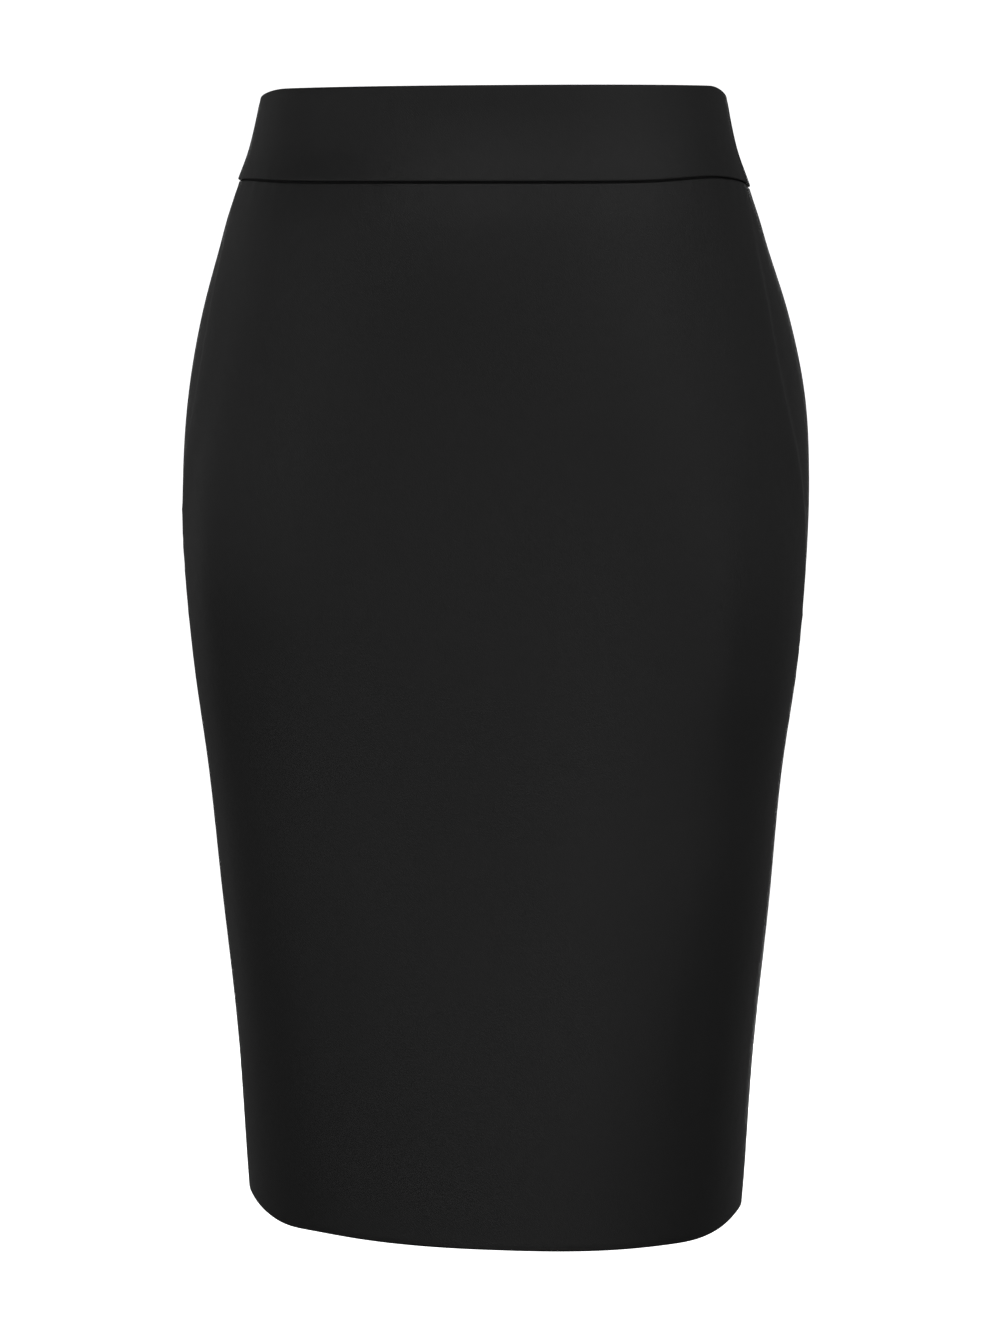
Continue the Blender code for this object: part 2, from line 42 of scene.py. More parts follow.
# The skirt's form, its tables in millimetres and degrees. Each section is a row: its height, half its width,
# its depth before and behind the axis, how far back it is widest, the exponent of its curve, how far its
# right-hand end stands forward, how far forward its side seams lie and how much more the wearer's left one,
# and its place along X.
form = {
    "sectionNames": ("height", "half", "front", "back", "widest", "round", "slant", "seam", "lead", "shift"),
    "sections": (
        (25.5, 127.4, 93.0, 88.0, 0, 2.15, 0, 4, 3, -0.6),
        (8.0, 130.7, 95.0, 90.0, 0, 2.15, 0, 6, 4, -0.8),
        (-9.0, 135.1, 98.5, 94.0, 2, 2.15, 0, 7, 5, -0.9),
        (-25.5, 141.4, 103.5, 100.0, 6, 2.15, 0, 9, 6, -1.1),
        (-60.0, 152.2, 110.5, 112.0, 20, 2.15, 0, 14, 9, -1.2),
        (-100.0, 164.9, 115.0, 124.0, 36, 2.15, 0, 17, 11, -0.6),
        (-145.0, 173.9, 116.5, 132.0, 42, 2.20, 0, 16, 11, 0),
        (-190.0, 176.0, 116.0, 135.0, 30, 2.30, 0, 10, 9, 0),
        (-235.0, 174.0, 115.0, 132.0, 15, 2.40, 2, 4, 6, 0),
        (-290.0, 168.8, 115.0, 125.0, 4, 2.40, 5, 0, 3, 0),
        (-350.0, 160.7, 117.0, 119.0, 0, 2.40, 7, 0, 1, -0.2),
        (-420.0, 154.2, 122.0, 115.0, 0, 2.40, 9, 0, 0, 0),
        (-500.0, 145.8, 127.0, 113.0, 0, 2.40, 11, 0, 0, 0),
        (-597.0, 139.4, 129.0, 112.0, 0, 2.40, 12, 0, 0, 0),
    ),
    # The soft folds: angle round the body, half the width, top, bottom, and rise or depth.
    "foldNames": ("angle", "spread", "top", "bottom", "rise"),
    "folds": (
        (-4, 15, -70, -330, -2.4),
        (33, 17, -60, -290, 1.4),
        (-42, 18, -110, -330, 1.6),
        (9, 16, -290, -520, 1.7),
        (-31, 9, -340, -590, -1.3),
        (46, 8, -380, -610, -1.5),
        (-74, 10, -300, -560, -1.4),
        (98, 11, -270, -500, -1.2),
        (134, 13, -250, -560, 1.6),
        (180, 20, -225, -420, -2.6),
        (214, 14, -280, -600, 1.8),
        (241, 9, -230, -470, -1.5),
        (60, 7, -30, -125, 1.0),
        (50, 8, -70, -210, 1.4),
        (44, 8, -130, -380, 1.7),
        (-60, 8, -100, -400, 1.3),
        (-47, 6, -30, -130, 0.7),
        (118, 8, -90, -260, 1.1),
        (160, 7, -200, -330, -0.8),
        (251, 9, -110, -300, 1.2),
    ),
    # Where the waist seam and the hem rise or fall: angle, half the width, rise.
    "waveNames": ("angle", "spread", "rise"),
    "seamWaves": ((58, 17, 2.8), (90, 9, -3.2), (-72, 18, 1.5), (158, 24, 1.2)),
    "hemWaves": ((-78, 13, 3.6), (-51, 10, -1.6), (20, 45, -1.1), (50, 10, -0.8), (76, 12, 3.0)),
    "bandTop": 25.5 * mm,
    "waistSeam": -25.5 * mm,
    "hem": -595.2 * mm,
    "hemTilt": 1.2 * mm,
    "bandProud": 1.0 * mm,
    "bandProudFade": 26 * mm,
    "topTilt": 0.9 * mm,
    "leftDip": (5.0 * mm, 68, 92),  # the top edge's fall at the wearer's left: depth, from, to
    "rightDip": (3.4 * mm, 60, 90),
    "backRise": (95, 175),  # behind the side seams it rises again, from and to
    "nudge": 1e-4,
    "walkSteps": 500,
    "walkPast": 30 * degree,
}


def byName(names, rows):
    # The table's columns by name, in metres and radians; round is a bare exponent.
    units = {"angle": degree, "spread": degree, "round": 1.0}
    return {name: np.array(column, float) * units.get(name, mm) for name, column in zip(names, zip(*rows))}


section = byName(form["sectionNames"], form["sections"])
folds = byName(form["foldNames"], form["folds"])
seamWaves = byName(form["waveNames"], form["seamWaves"])
hemWaves = byName(form["waveNames"], form["hemWaves"])


def softStep(t):
    # 0 below 0, 1 above 1, and 3tt - 2ttt between.
    t = np.clip(t, 0, 1)
    return t * t * (3 - 2 * t)


def through(height, name):
    # A section value at a height: a cubic between two rows, with slopes weighed from both sides of each row.
    order = np.argsort(section["height"])
    knots = section["height"][order]
    values = section[name][order]
    span = np.diff(knots)
    slope = np.diff(values) / span
    middle = (slope[:-1] * span[1:] + slope[1:] * span[:-1]) / (span[1:] + span[:-1])
    tangent = np.concatenate(([slope[0]], middle, [slope[-1]]))
    height = np.clip(height, knots[0], knots[-1])
    i = np.clip(np.searchsorted(knots, height) - 1, 0, len(span) - 1)
    t = (height - knots[i]) / span[i]
    ends = values[i] * (1 + 2 * t) * (1 - t) ** 2 + values[i + 1] * t * t * (3 - 2 * t)
    return ends + span[i] * (tangent[i] * t * (1 - t) ** 2 - tangent[i + 1] * t * t * (1 - t))


def oval(angle, height):
    # Two half superellipses that meet where the section is widest: x goes with the sine and y with the
    # cosine, each to the power of 2 over the exponent, and y leans with x by the slant.
    at = {name: through(height, name) for name in form["sectionNames"][1:]}
    across = np.sin(angle)
    along = np.cos(angle)
    x = np.sign(across) * at["half"] * np.abs(across) ** (2 / at["round"])
    reach = np.abs(along) ** (2 / at["round"])
    before = at["widest"] - (at["front"] + at["widest"]) * reach
    behind = at["widest"] + (at["back"] - at["widest"]) * reach
    y = np.where(along > 0, before, behind) - at["slant"] * x / at["half"]
    return x + at["shift"], y


def bells(angle, table):
    # A bell round the angle of each row of the table, e to the minus square of the distance over the spread.
    away = (np.asarray(angle, float)[..., None] - table["angle"] + np.pi) % (2 * np.pi) - np.pi
    return np.exp(-(away / table["spread"]) ** 2)


def foldRise(angle, height):
    # The sum of the folds: a bell across each one, times the squared sine of the share of its length.
    along = (folds["top"] - height[..., None]) / (folds["top"] - folds["bottom"])
    fade = np.sin(np.pi * np.clip(along, 0, 1)) ** 2
    return np.sum(folds["rise"] * bells(angle, folds) * fade, axis=-1)


def clothPoint(angle, height, inward=0.0):
    # The oval's point, moved along its level normal by the folds' rise less the distance inward.
    angle, height = np.broadcast_arrays(np.asarray(angle, float), np.asarray(height, float))
    x, y = oval(angle, height)
    nextX, nextY = oval(angle + form["nudge"], height)
    lastX, lastY = oval(angle - form["nudge"], height)
    runX = nextX - lastX
    runY = nextY - lastY
    run = np.hypot(runX, runY)
    out = foldRise(angle, height) - inward
    return np.stack([x + out * runY / run, y - out * runX / run, height], axis=-1)


def sideSeam(height, forward):
    # How far round from the front a side seam is, where the section's y is its distance forward.
    at = {name: through(height, name) for name in ("widest", "front", "round")}
    reach = (at["widest"] + forward) / (at["front"] + at["widest"])
    return np.arccos(np.clip(reach, 0, 1) ** (at["round"] / 2))


def leftSeam(height):
    return sideSeam(height, through(height, "seam") + through(height, "lead"))


def rightSeam(height):
    return -sideSeam(height, through(height, "seam"))


def backSeam(height):
    return np.pi + 0 * height


def backSeamAgain(height):
    # The centre back, reached the other way round.
    return -np.pi + 0 * height


def bandTop(angle):
    # The band's top edge leans with the sine, falls softly towards each side seam and rises again behind it.
    turned = ((np.asarray(angle, float) + np.pi) % (2 * np.pi) - np.pi) / degree
    leftFall, leftFrom, leftTo = form["leftDip"]
    rightFall, rightFrom, rightTo = form["rightDip"]
    backFrom, backTo = form["backRise"]
    left = leftFall * softStep((turned - leftFrom) / (leftTo - leftFrom))
    right = rightFall * softStep((-turned - rightFrom) / (rightTo - rightFrom))
    behind = softStep((np.abs(turned) - backFrom) / (backTo - backFrom))
    return form["bandTop"] + form["topTilt"] * np.sin(angle) - np.maximum(left, right) * (1 - behind)


def waistSeam(angle):
    # The seam's level and the sum of its waves.
    return form["waistSeam"] + np.sum(seamWaves["rise"] * bells(angle, seamWaves), axis=-1)


def hemLine(angle):
    # The hem's level, which falls with the sine towards the wearer's left, and the sum of its waves.
    waves = np.sum(hemWaves["rise"] * bells(angle, hemWaves), axis=-1)
    return form["hem"] - form["hemTilt"] * np.sin(angle) + waves


def underBand(height):
    # Just below the waistband the cloth lies this far inside the form, and comes out to it softly.
    return form["bandProud"] * (1 - softStep((form["waistSeam"] - height) / form["bandProudFade"]))


def spaced(first, count, last):
    # Places along a length: the first from its start, the last from its end, and even ones between. Each is
    # a fixed distance and a share of the whole length.
    first = np.asarray(first, float)
    last = np.asarray(last, float)
    share = np.arange(1, count) / count
    fixed = np.concatenate([first, first[-1] * (1 - share) - last[0] * share, -last])
    return fixed, np.concatenate([0 * first, share, 0 * last + 1])


def evenly(edge, count):
    # The same places from both ends, and even ones between.
    return spaced(edge, count, edge[::-1])


def roundEdge(radius, start=0.0, steps=6):
    # Distances from an edge at even turns of a quarter circle.
    return start + radius * (1 - np.cos(np.linspace(0, np.pi / 2, steps)))


def rollIn(distance, radius):
    # How deep a rounded edge lies at a distance from it: a quarter circle, and nothing past its radius.
    short = np.clip(radius - distance, 0, radius)
    return radius - np.sqrt(radius ** 2 - short ** 2)


def clothGrid(edges, top, bottom, across, down):
    # A sewn piece's grid: a row at each place down it and a column at each place along it, measured on
    # the form.
    wholeDrop = top(0.0) - bottom(0.0)
    level = top(0.0) - down[0] - down[1] * wholeDrop
    start, end = edges(level)
    share = np.linspace(-form["walkPast"], form["walkPast"], form["walkSteps"])
    middle = (start + end)[:, None] / 2
    angles = middle + share * (1 + (end - start)[:, None] / 2 / form["walkPast"])
    points = clothPoint(angles, level[:, None])[..., :2]
    steps = np.linalg.norm(np.diff(points, axis=1), axis=2)
    walked = np.concatenate([np.zeros((len(level), 1)), np.cumsum(steps, axis=1)], axis=1)
    rows = range(len(level))
    startAt = np.array([np.interp(start[i], angles[i], walked[i]) for i in rows])
    whole = np.array([np.interp(end[i], angles[i], walked[i]) for i in rows]) - startAt
    along = across[0] + across[1] * whole[:, None]
    angle = np.array([np.interp(along[i] + startAt[i], walked[i], angles[i]) for i in rows])
    drop = top(angle) - bottom(angle)
    fromTop = down[0][:, None] + down[1][:, None] * drop
    return {
        "angle": angle,
        "height": top(angle) - fromTop,
        "fromTop": fromTop,
        "fromBottom": drop - fromTop,
        "fromStart": along,
        "fromEnd": whole[:, None] - along,
        "whole": whole,
        "level": level,
    }


class Wire:
    # One output of a node. Arithmetic on it adds Math nodes to its finish.
    def __init__(self, finish, socket):
        self.finish = finish
        self.socket = socket

    def math(self, operation, first, second=0.0):
        return self.finish.node("ShaderNodeMath", {"operation": operation}, {0: first, 1: second})

    def __add__(self, other):
        return self.math("ADD", self, other)

    def __rsub__(self, other):
        return self.math("SUBTRACT", other, self)

    def __mul__(self, other):
        return self.math("MULTIPLY", self, other)

    def sine(self):
        return self.math("SINE", self)

    def size(self):
        return self.math("ABSOLUTE", self)

    __radd__ = __add__
    __rmul__ = __mul__


class Finish:
    # A Principled material. node() adds any node, with its settings and the values or wires of its inputs.
    def __init__(self, name, sockets):
        self.material = bpy.data.materials.new(name)
        self.material.use_nodes = True
        self.tree = self.material.node_tree
        self.shader = self.tree.nodes["Principled BSDF"]
        self.feed(self.shader, sockets)

    def feed(self, node, inputs):
        for key, value in inputs.items():
            if isinstance(value, Wire):
                self.tree.links.new(value.socket, node.inputs[key])
            else:
                node.inputs[key].default_value = value

    def node(self, kind, settings=None, inputs=None, output=0):
        made = self.tree.nodes.new(kind)
        for key, value in (settings or {}).items():
            setattr(made, key, value)
        self.feed(made, inputs or {})
        return Wire(self, made.outputs[output])

    def blend(self, factor, first, second):
        # A colour between two others.
        return self.node("ShaderNodeMix", {"data_type": "RGBA"}, {0: factor, 6: first, 7: second}, 2)

    def noise(self, place, scale, detail=2.0, roughness=0.5):
        sockets = {"Vector": place, "Scale": scale, "Detail": detail, "Roughness": roughness}
        return self.node("ShaderNodeTexNoise", {}, sockets)

    def between(self, value, low, high):
        # 0 at the low value and 1 at the high one.
        return self.node("ShaderNodeMapRange", {}, {"Value": value, "From Min": low, "From Max": high})

    def object(self):
        return self.node("ShaderNodeTexCoord", output=3)

    def along(self):
        # The two lengths of the piece's own map, in metres: round the body, and up.
        place = self.node("ShaderNodeUVMap", {"uv_map": "cloth"})
        return [self.node("ShaderNodeSeparateXYZ", {}, {0: place}, axis) for axis in (0, 1)]

    def patterned(self, pattern, look):
        # A pattern from 0 to 1 that is light, smooth and high at 1.
        matt, gloss = look["roughness"]
        colour = self.blend(pattern, look["colour"], look["light"])
        return self.finishWith(colour, matt - pattern * gloss, pattern, look["depth"])

    def finishWith(self, colour, roughness, height=None, depth=0.0):
        # Feeds the colour and roughness, and a bump of that depth in metres.
        self.feed(self.shader, {"Base Color": colour, "Roughness": roughness})
        if height is not None:
            bump = {"Height": height, "Distance": depth, "Strength": 1.0}
            self.feed(self.shader, {"Normal": self.node("ShaderNodeBump", {}, bump)})
        return self.material


def grey(value, warmth=0.0):
    # A grey with a share more red, and as much less blue.
    return (value * (1 + warmth), value, value * (1 - warmth), 1.0)


clothLook = {
    "pitch": 0.72 * mm,
    "course": (0.8, 0.5),  # its turns up and along, as shares of a column's
    "yarn": (2600.0, 0.6, 0.05 * mm),  # scale, share of the height, and the whole height
    "dye": 14.0,
    "nap": 160.0,
    "shares": (0.35, 0.35, 0.3),  # of the stitch, the dye and the nap in the colour
    "tones": (0.0024, 0.0040),  # dark and light
    "warmth": -0.01,
    "roughness": (0.48, 0.10, 0.04),  # middle, spread by the nap, less on a stitch's crest
    "sockets": {"Specular IOR Level": 0.3, "Sheen Weight": 0.01, "Sheen Roughness": 0.5},
}


def clothFinish(name, look, paintedLight=1.0):
    # Fine double knit: two crossed sines make its stitches, and slow noise its uneven dye and nap.
    cloth = Finish(name, look["sockets"])
    across, up = cloth.along()
    turn = 2 * np.pi / look["pitch"]
    upTurn, alongTurn = look["course"]
    column = (across * turn).sine()
    course = (up * (turn * upTurn) + across * (turn * alongTurn)).sine()
    stitch = column * course * 0.5 + 0.5
    place = cloth.object()
    yarnScale, yarnShare, depth = look["yarn"]
    yarn = cloth.noise(place, yarnScale, 1.0)
    dye = cloth.noise(place, look["dye"], 3.0)
    nap = cloth.noise(place, look["nap"], 3.0, 0.6)
    # paintedLight raises both tones by a share. This is painted light: a lighter copy of the knit stands for
    # cloth that is lit more.
    dark, light = [grey(tone * paintedLight, look["warmth"]) for tone in look["tones"]]
    stitchShare, dyeShare, napShare = look["shares"]
    colour = cloth.blend(stitch * stitchShare + dye * dyeShare + nap * napShare, dark, light)
    middle, spread, shine = look["roughness"]
    roughness = nap * spread + (middle - spread / 2) + stitch * -shine
    return cloth.finishWith(colour, roughness, stitch + yarn * yarnShare, depth)


threadLook = {
    "twist": 1.1 * mm,
    "depth": 0.04 * mm,
    "colour": grey(0.012),
    "light": grey(0.022),
    "roughness": (0.5, 0.08),  # between the plies, and how much less on them
    "sockets": {"Specular IOR Level": 0.45, "Sheen Weight": 0.1},
}


def threadFinish(name, look):
    # Black sewing thread: slanted plies, as a sine of the height and place, and a slight gloss.
    thread = Finish(name, look["sockets"])
    place = thread.object()
    x, y, z = [thread.node("ShaderNodeSeparateXYZ", {}, {0: place}, axis) for axis in (0, 1, 2)]
    ply = ((x + y + z) * (2 * np.pi / look["twist"])).sine() * 0.5 + 0.5
    return thread.patterned(ply, look)


tapeLook = {
    "rib": 0.9 * mm,
    "ribs": 4,  # to a whole turn of the zigzag's sine
    "slant": 3.0,
    "depth": 0.06 * mm,
    "colour": grey(0.010),
    "light": grey(0.018),
    "roughness": (0.78, 0.1),
    "sockets": {"Specular IOR Level": 0.3, "Sheen Weight": 0.05},
}


def tapeFinish(name, look):
    # Woven zip tape: a herringbone whose slant turns at each rib, the size of a sine against another.
    tape = Finish(name, look["sockets"])
    across, up = tape.along()
    zigzag = (across * (2 * np.pi / (look["rib"] * look["ribs"]))).sine().size()
    weave = ((zigzag * look["slant"]) + up * (2 * np.pi / look["rib"])).sine() * 0.5 + 0.5
    return tape.patterned(weave, look)


metalLook = {
    "enamel": grey(0.012),
    "speck": grey(0.03),
    "worn": grey(0.11, 0.02),
    "peel": (1500.0, 0.02 * mm),  # scale and height
    "wear": (420.0, 0.66, 0.74),  # scale, where it begins and where it is full
    "wornShare": 0.6,
    "wornMetal": 0.8,
    "coat": (0.6, 0.5),  # its weight, and less where worn
    "roughness": (0.26, 0.14),
    "sockets": {"Coat Roughness": 0.12, "Specular IOR Level": 0.5},
}


def metalFinish(name, look):
    # Black enamel on metal: fine orange-peel from noise, and a little wear where slower noise peaks.
    metal = Finish(name, look["sockets"])
    place = metal.object()
    peelScale, depth = look["peel"]
    wearScale, begins, full = look["wear"]
    peel = metal.noise(place, peelScale)
    wear = metal.noise(place, wearScale, 4.0, 0.65)
    worn = metal.between(wear, begins, full)
    enamel = metal.blend(peel, look["enamel"], look["speck"])
    colour = metal.blend(worn * look["wornShare"], enamel, look["worn"])
    coat, bared = look["coat"]
    metal.feed(metal.shader, {"Metallic": worn * look["wornMetal"], "Coat Weight": coat - worn * bared})
    smooth, spread = look["roughness"]
    return metal.finishWith(colour, smooth + peel * spread, peel, depth)


def addObject(name, data):
    made = bpy.data.objects.new(name, data)
    bpy.context.scene.collection.objects.link(made)
    return made


def makeMesh(name, points, faces, finish, uv=None):
    # A smooth mesh from an array of points and arrays of faces, each with its own number of corners.
    mesh = bpy.data.meshes.new(name)
    corners = np.concatenate([part.ravel() for part in faces])
    sizes = np.concatenate([np.full(len(part), part.shape[1]) for part in faces])
    mesh.vertices.add(len(points))
    mesh.vertices.foreach_set("co", points.astype(np.float32).ravel())
    mesh.loops.add(len(corners))
    mesh.loops.foreach_set("vertex_index", corners.astype(np.int32))
    mesh.polygons.add(len(sizes))
    mesh.polygons.foreach_set("loop_start", (np.cumsum(sizes) - sizes).astype(np.int32))
    mesh.update(calc_edges=True)
    mesh.shade_smooth()
    if uv is not None:
        mesh.uv_layers.new(name="cloth").data.foreach_set("uv", uv[corners].astype(np.float32).ravel())
    mesh.materials.append(finish)
    return addObject(name, mesh)


def makePiece(name, points, faces, finish, uv=None):
    # A mesh that rides on the skirt, with its surface's slot.
    piece = makeMesh(name, points, faces, finish, uv)
    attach(piece, "skirt")
    return piece


def gridFaces(rows, columns, cells=None):
    # The quads of a grid whose rows run down and whose columns run with the growing angle.
    number = np.arange(rows * columns).reshape(rows, columns)
    corners = np.stack([number[:-1, :-1], number[1:, :-1], number[1:, 1:], number[:-1, 1:]], -1)
    return corners.reshape(-1, 4) if cells is None else corners[cells]


def ringFaces(rings, sides):
    # Faces round rings of points that follow a pole point and end at another, for a form that turns
    # anticlockwise as seen from the first pole.
    number = 1 + np.arange(rings * sides).reshape(rings, sides)
    near = np.roll(number, -1, axis=1)
    quads = np.stack([number[:-1], number[1:], near[1:], near[:-1]], axis=-1).reshape(-1, 4)
    first = np.column_stack([0 * number[0], number[0], near[0]])
    last = np.column_stack([number[-1], 0 * number[-1] + rings * sides + 1, near[-1]])
    return [first, quads, last]


def closedWall(outer, inner, uv, cells=None):
    # Two sheets on one grid, the inner one turned round, joined all along their rims.
    rows, columns = outer.shape[:2]
    total = rows * columns
    front = gridFaces(rows, columns, cells)
    edges = np.stack([front, np.roll(front, -1, axis=1)], axis=-1).reshape(-1, 2)
    lonely = ~np.isin(edges[:, 0] * total + edges[:, 1], edges[:, 1] * total + edges[:, 0])
    rim = edges[lonely]
    sides = np.column_stack([rim[:, 1], rim[:, 0], rim[:, 0] + total, rim[:, 1] + total])
    quads = np.concatenate([front, front[:, ::-1] + total, sides])
    used, faces = np.unique(quads, return_inverse=True)
    points = np.concatenate([outer.reshape(-1, 3), inner.reshape(-1, 3)])[used]
    places = np.concatenate([uv.reshape(-1, 2)] * 2)[used]
    return points, [faces.reshape(-1, 4)], places


def clothPiece(name, node, grid, outerDepth, innerDepth, finish, slot, cells=None):
    # A piece of cloth between two depths inside the form, with a map in metres round the body and up. It
    # stands in for the solid of that name, if there is one.
    outer = clothPoint(grid["angle"], grid["height"], outerDepth)
    inner = clothPoint(grid["angle"], grid["height"], innerDepth)
    uv = np.stack([grid["fromStart"], grid["height"]], axis=-1)
    points, faces, places = closedWall(outer, inner, uv, cells)
    piece = makePiece(name, points, faces, finish, places)
    if node is not None:
        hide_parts(node)
    return piece


def flatCut(grid):
    # The piece's greatest width, its length, and its area, the sum of each row's width times its drop.
    length = grid["level"][0] - grid["level"][-1]
    area = np.sum((grid["whole"][1:] + grid["whole"][:-1]) / 2 * -np.diff(grid["level"]))
    return {"flat": (float(grid["whole"].max()), float(length)), "area": float(area)}


def edgesOf(start, end):
    # A piece's two edges. A strip that is measured from a seam has it as both.
    def edges(level):
        return start(level), end(level)

    return edges


frontEdges = edgesOf(rightSeam, leftSeam)
backLeftEdges = edgesOf(leftSeam, backSeam)
backRightEdges = edgesOf(backSeamAgain, rightSeam)


def levelLine(height):
    # A line round the form at one height.
    def line(angle):
        return height + 0 * angle

    return line


def raised(line, rise):
    # The same line, moved up by a distance.
    def moved(angle):
        return line(angle) + rise

    return moved


# Cloth of the skirt's panels, in metres. The seams' ridge is the allowance that shows through the cloth.
panelLook = {
    "wall": 1.2 * mm,
    "waistGap": 0.1 * mm,
    "waistSlope": 0.42,
    "seamRoll": 0.15 * mm,
    "topRoll": 0.8 * mm,
    "topRow": 2 * mm,
    "rows": 155,
    "hemDepth": 38 * mm,
    "hemWall": 2.8 * mm,
    "hemRoll": 1.25 * mm,
    "hemStep": 1.4 * mm,
    "hemRows": (5, 12),  # over the step at its edge, and below it
    "columns": {"front": 123, "left": 54, "right": 66},
    "ridgeRise": (0.35 * mm, 1.75 * mm),  # low and high
    "ridgeCrest": -6.2 * mm,
    "ridgeSpread": (15 * mm, 5.6 * mm),  # before and behind its crest
    "ridgeFrom": (-40 * mm, 50 * mm),  # it grows down from this height, over this much
    "ridgeTo": (-170 * mm, 80 * mm),  # and sinks again
    "ridgeEnd": 20 * mm,  # it sinks over this much above the hem
    "ridgeColumns": np.array([0.9, 2.0, 3.1, 4.3, 5.6, 7.0, 8.5, 10.5, 13.0]) * mm,
    "centreSwell": (0.40 * mm, 2.4 * mm),
    "pucker": (0.16 * mm, 6 * mm),
}
ventLook = {
    "top": -425 * mm,
    "ramp": 12 * mm,
    "lap": 36 * mm,
    "lapColumns": 13,
    "depth": 3.6 * mm,
    "foldFrom": 9 * mm,
    "foldWidth": 8 * mm,
    "foldPast": 1 * mm,
    "foldColumns": 9,
    "sideFrom": 12 * mm,  # nearer to the centre than this, the panel's own side isn't rounded
    "wall": 2.3 * mm,
    "slant": 0.4,
    "facingEdge": 1.2 * mm,
    "facingFade": 4 * mm,
    "facingColumns": (4, 10),
    "nearColumns": (3 * mm, 2 * mm),
}
# Small uneven waves beside a seam: radians to a metre, height and start of each sine.
puckerWaves = ((540, 1.0, 0.0), (331, 0.7, 1.3), (877, 0.5, 0.4))


def panelTop(angle):
    # The panels' side of the waist seam, clear of the band's slanting edge.
    return waistSeam(angle) - panelLook["waistGap"] - panelLook["waistSlope"] * form["bandProud"]


def pucker(along, distance, look):
    # The sum of the sines, which fades with e to the minus distance.
    rise, fade = look["pucker"]
    waves = sum(height * np.sin(along * turn + start) for turn, height, start in puckerWaves)
    return rise * waves * np.exp(-np.abs(distance) / fade)


def swell(distance, rise, spread):
    # The ridge beside a seam, a bell over the distance.
    return rise * np.exp(-(distance / spread) ** 2)


def sideRidge(behind, height, look):
    # The ridge along a side seam over the distance behind it: a bell whose crest lies before the seam, long
    # towards the front and short behind. It stands high over the hips, and low above and below them.
    low, high = look["ridgeRise"]
    grown, faded = [softStep((look[end][0] - height) / look[end][1]) for end in ("ridgeFrom", "ridgeTo")]
    past = behind - look["ridgeCrest"]
    return swell(past, low + (high - low) * grown * (1 - faded), np.where(past < 0, *look["ridgeSpread"]))


def edgeRolls(grid, side, top, bottom):
    # How deep the rounding of the four edges lies, the deepest one where two meet.
    rolls = [
        rollIn(grid["fromStart"], side),
        rollIn(grid["fromEnd"], side),
        rollIn(grid["fromTop"], top),
        rollIn(grid["fromBottom"], bottom),
    ]
    return np.maximum.reduce(rolls)


def panelWall(fromBottom, look):
    # The cloth's thickness, which grows where the hem is turned up.
    turnedUp = softStep((look["hemDepth"] - fromBottom) / look["hemStep"])
    return look["wall"] + (look["hemWall"] - look["wall"]) * turnedUp


def panelRows(look):
    # Down a panel: its rounded top, even rows, the turned-up hem's edge, the hem, and its rounded fold.
    stepRows, foldRows = look["hemRows"]
    step = look["hemDepth"] - look["hemStep"] * np.linspace(0, 1, stepRows)
    turnUp = np.linspace(step[-1], look["hemRoll"], foldRows)[1:-1]
    first = np.concatenate([roundEdge(look["topRoll"]), [look["topRow"]]])
    last = np.concatenate([step, turnUp, roundEdge(look["hemRoll"])[::-1]])
    return spaced(first, look["rows"], last)


def panelDepths(grid, look, centre=None):
    # The outer sheet follows the form, rolls in at each edge and stands out a little beside its seams. The
    # inner one lies a wall behind it. centre names a back half's edge at the centre back, where the ridge is
    # a low bell all the way down.
    start = grid["fromStart"]
    end = grid["fromEnd"]
    height = grid["height"]
    if centre is None:
        ridge = sideRidge(-start, height, look) + sideRidge(-end, height, look)
    else:
        atSide, atCentre = (end, start) if centre == "start" else (start, end)
        ridge = sideRidge(atSide, height, look) + swell(atCentre, *look["centreSwell"])
    ripple = pucker(height, np.minimum(start, end), look) + pucker(start, grid["fromTop"], look)
    lie = underBand(height) - (ridge + ripple) * softStep(grid["fromBottom"] / look["ridgeEnd"])
    roll = edgeRolls(grid, look["seamRoll"], look["topRoll"], look["hemRoll"])
    return lie, roll, panelWall(grid["fromBottom"], look), rollIn(grid["fromBottom"], look["hemRoll"])


def sideEdge(look):
    # Columns at a seam: its rounded edge, then close ones over the ridge that stands beside it.
    return np.concatenate([roundEdge(look["seamRoll"]), look["ridgeColumns"]])


def makeFront(look, finish):
    # The front, from side seam to side seam, walled between its two depths.
    across = evenly(sideEdge(look), look["columns"]["front"])
    grid = clothGrid(frontEdges, panelTop, hemLine, across, panelRows(look))
    lie, roll, wall, hemRoll = panelDepths(grid, look)
    inward = lie + wall - hemRoll
    return clothPiece("skirt_front", "front_panel", grid, lie + roll, inward, finish, "skirt_cloth"), grid


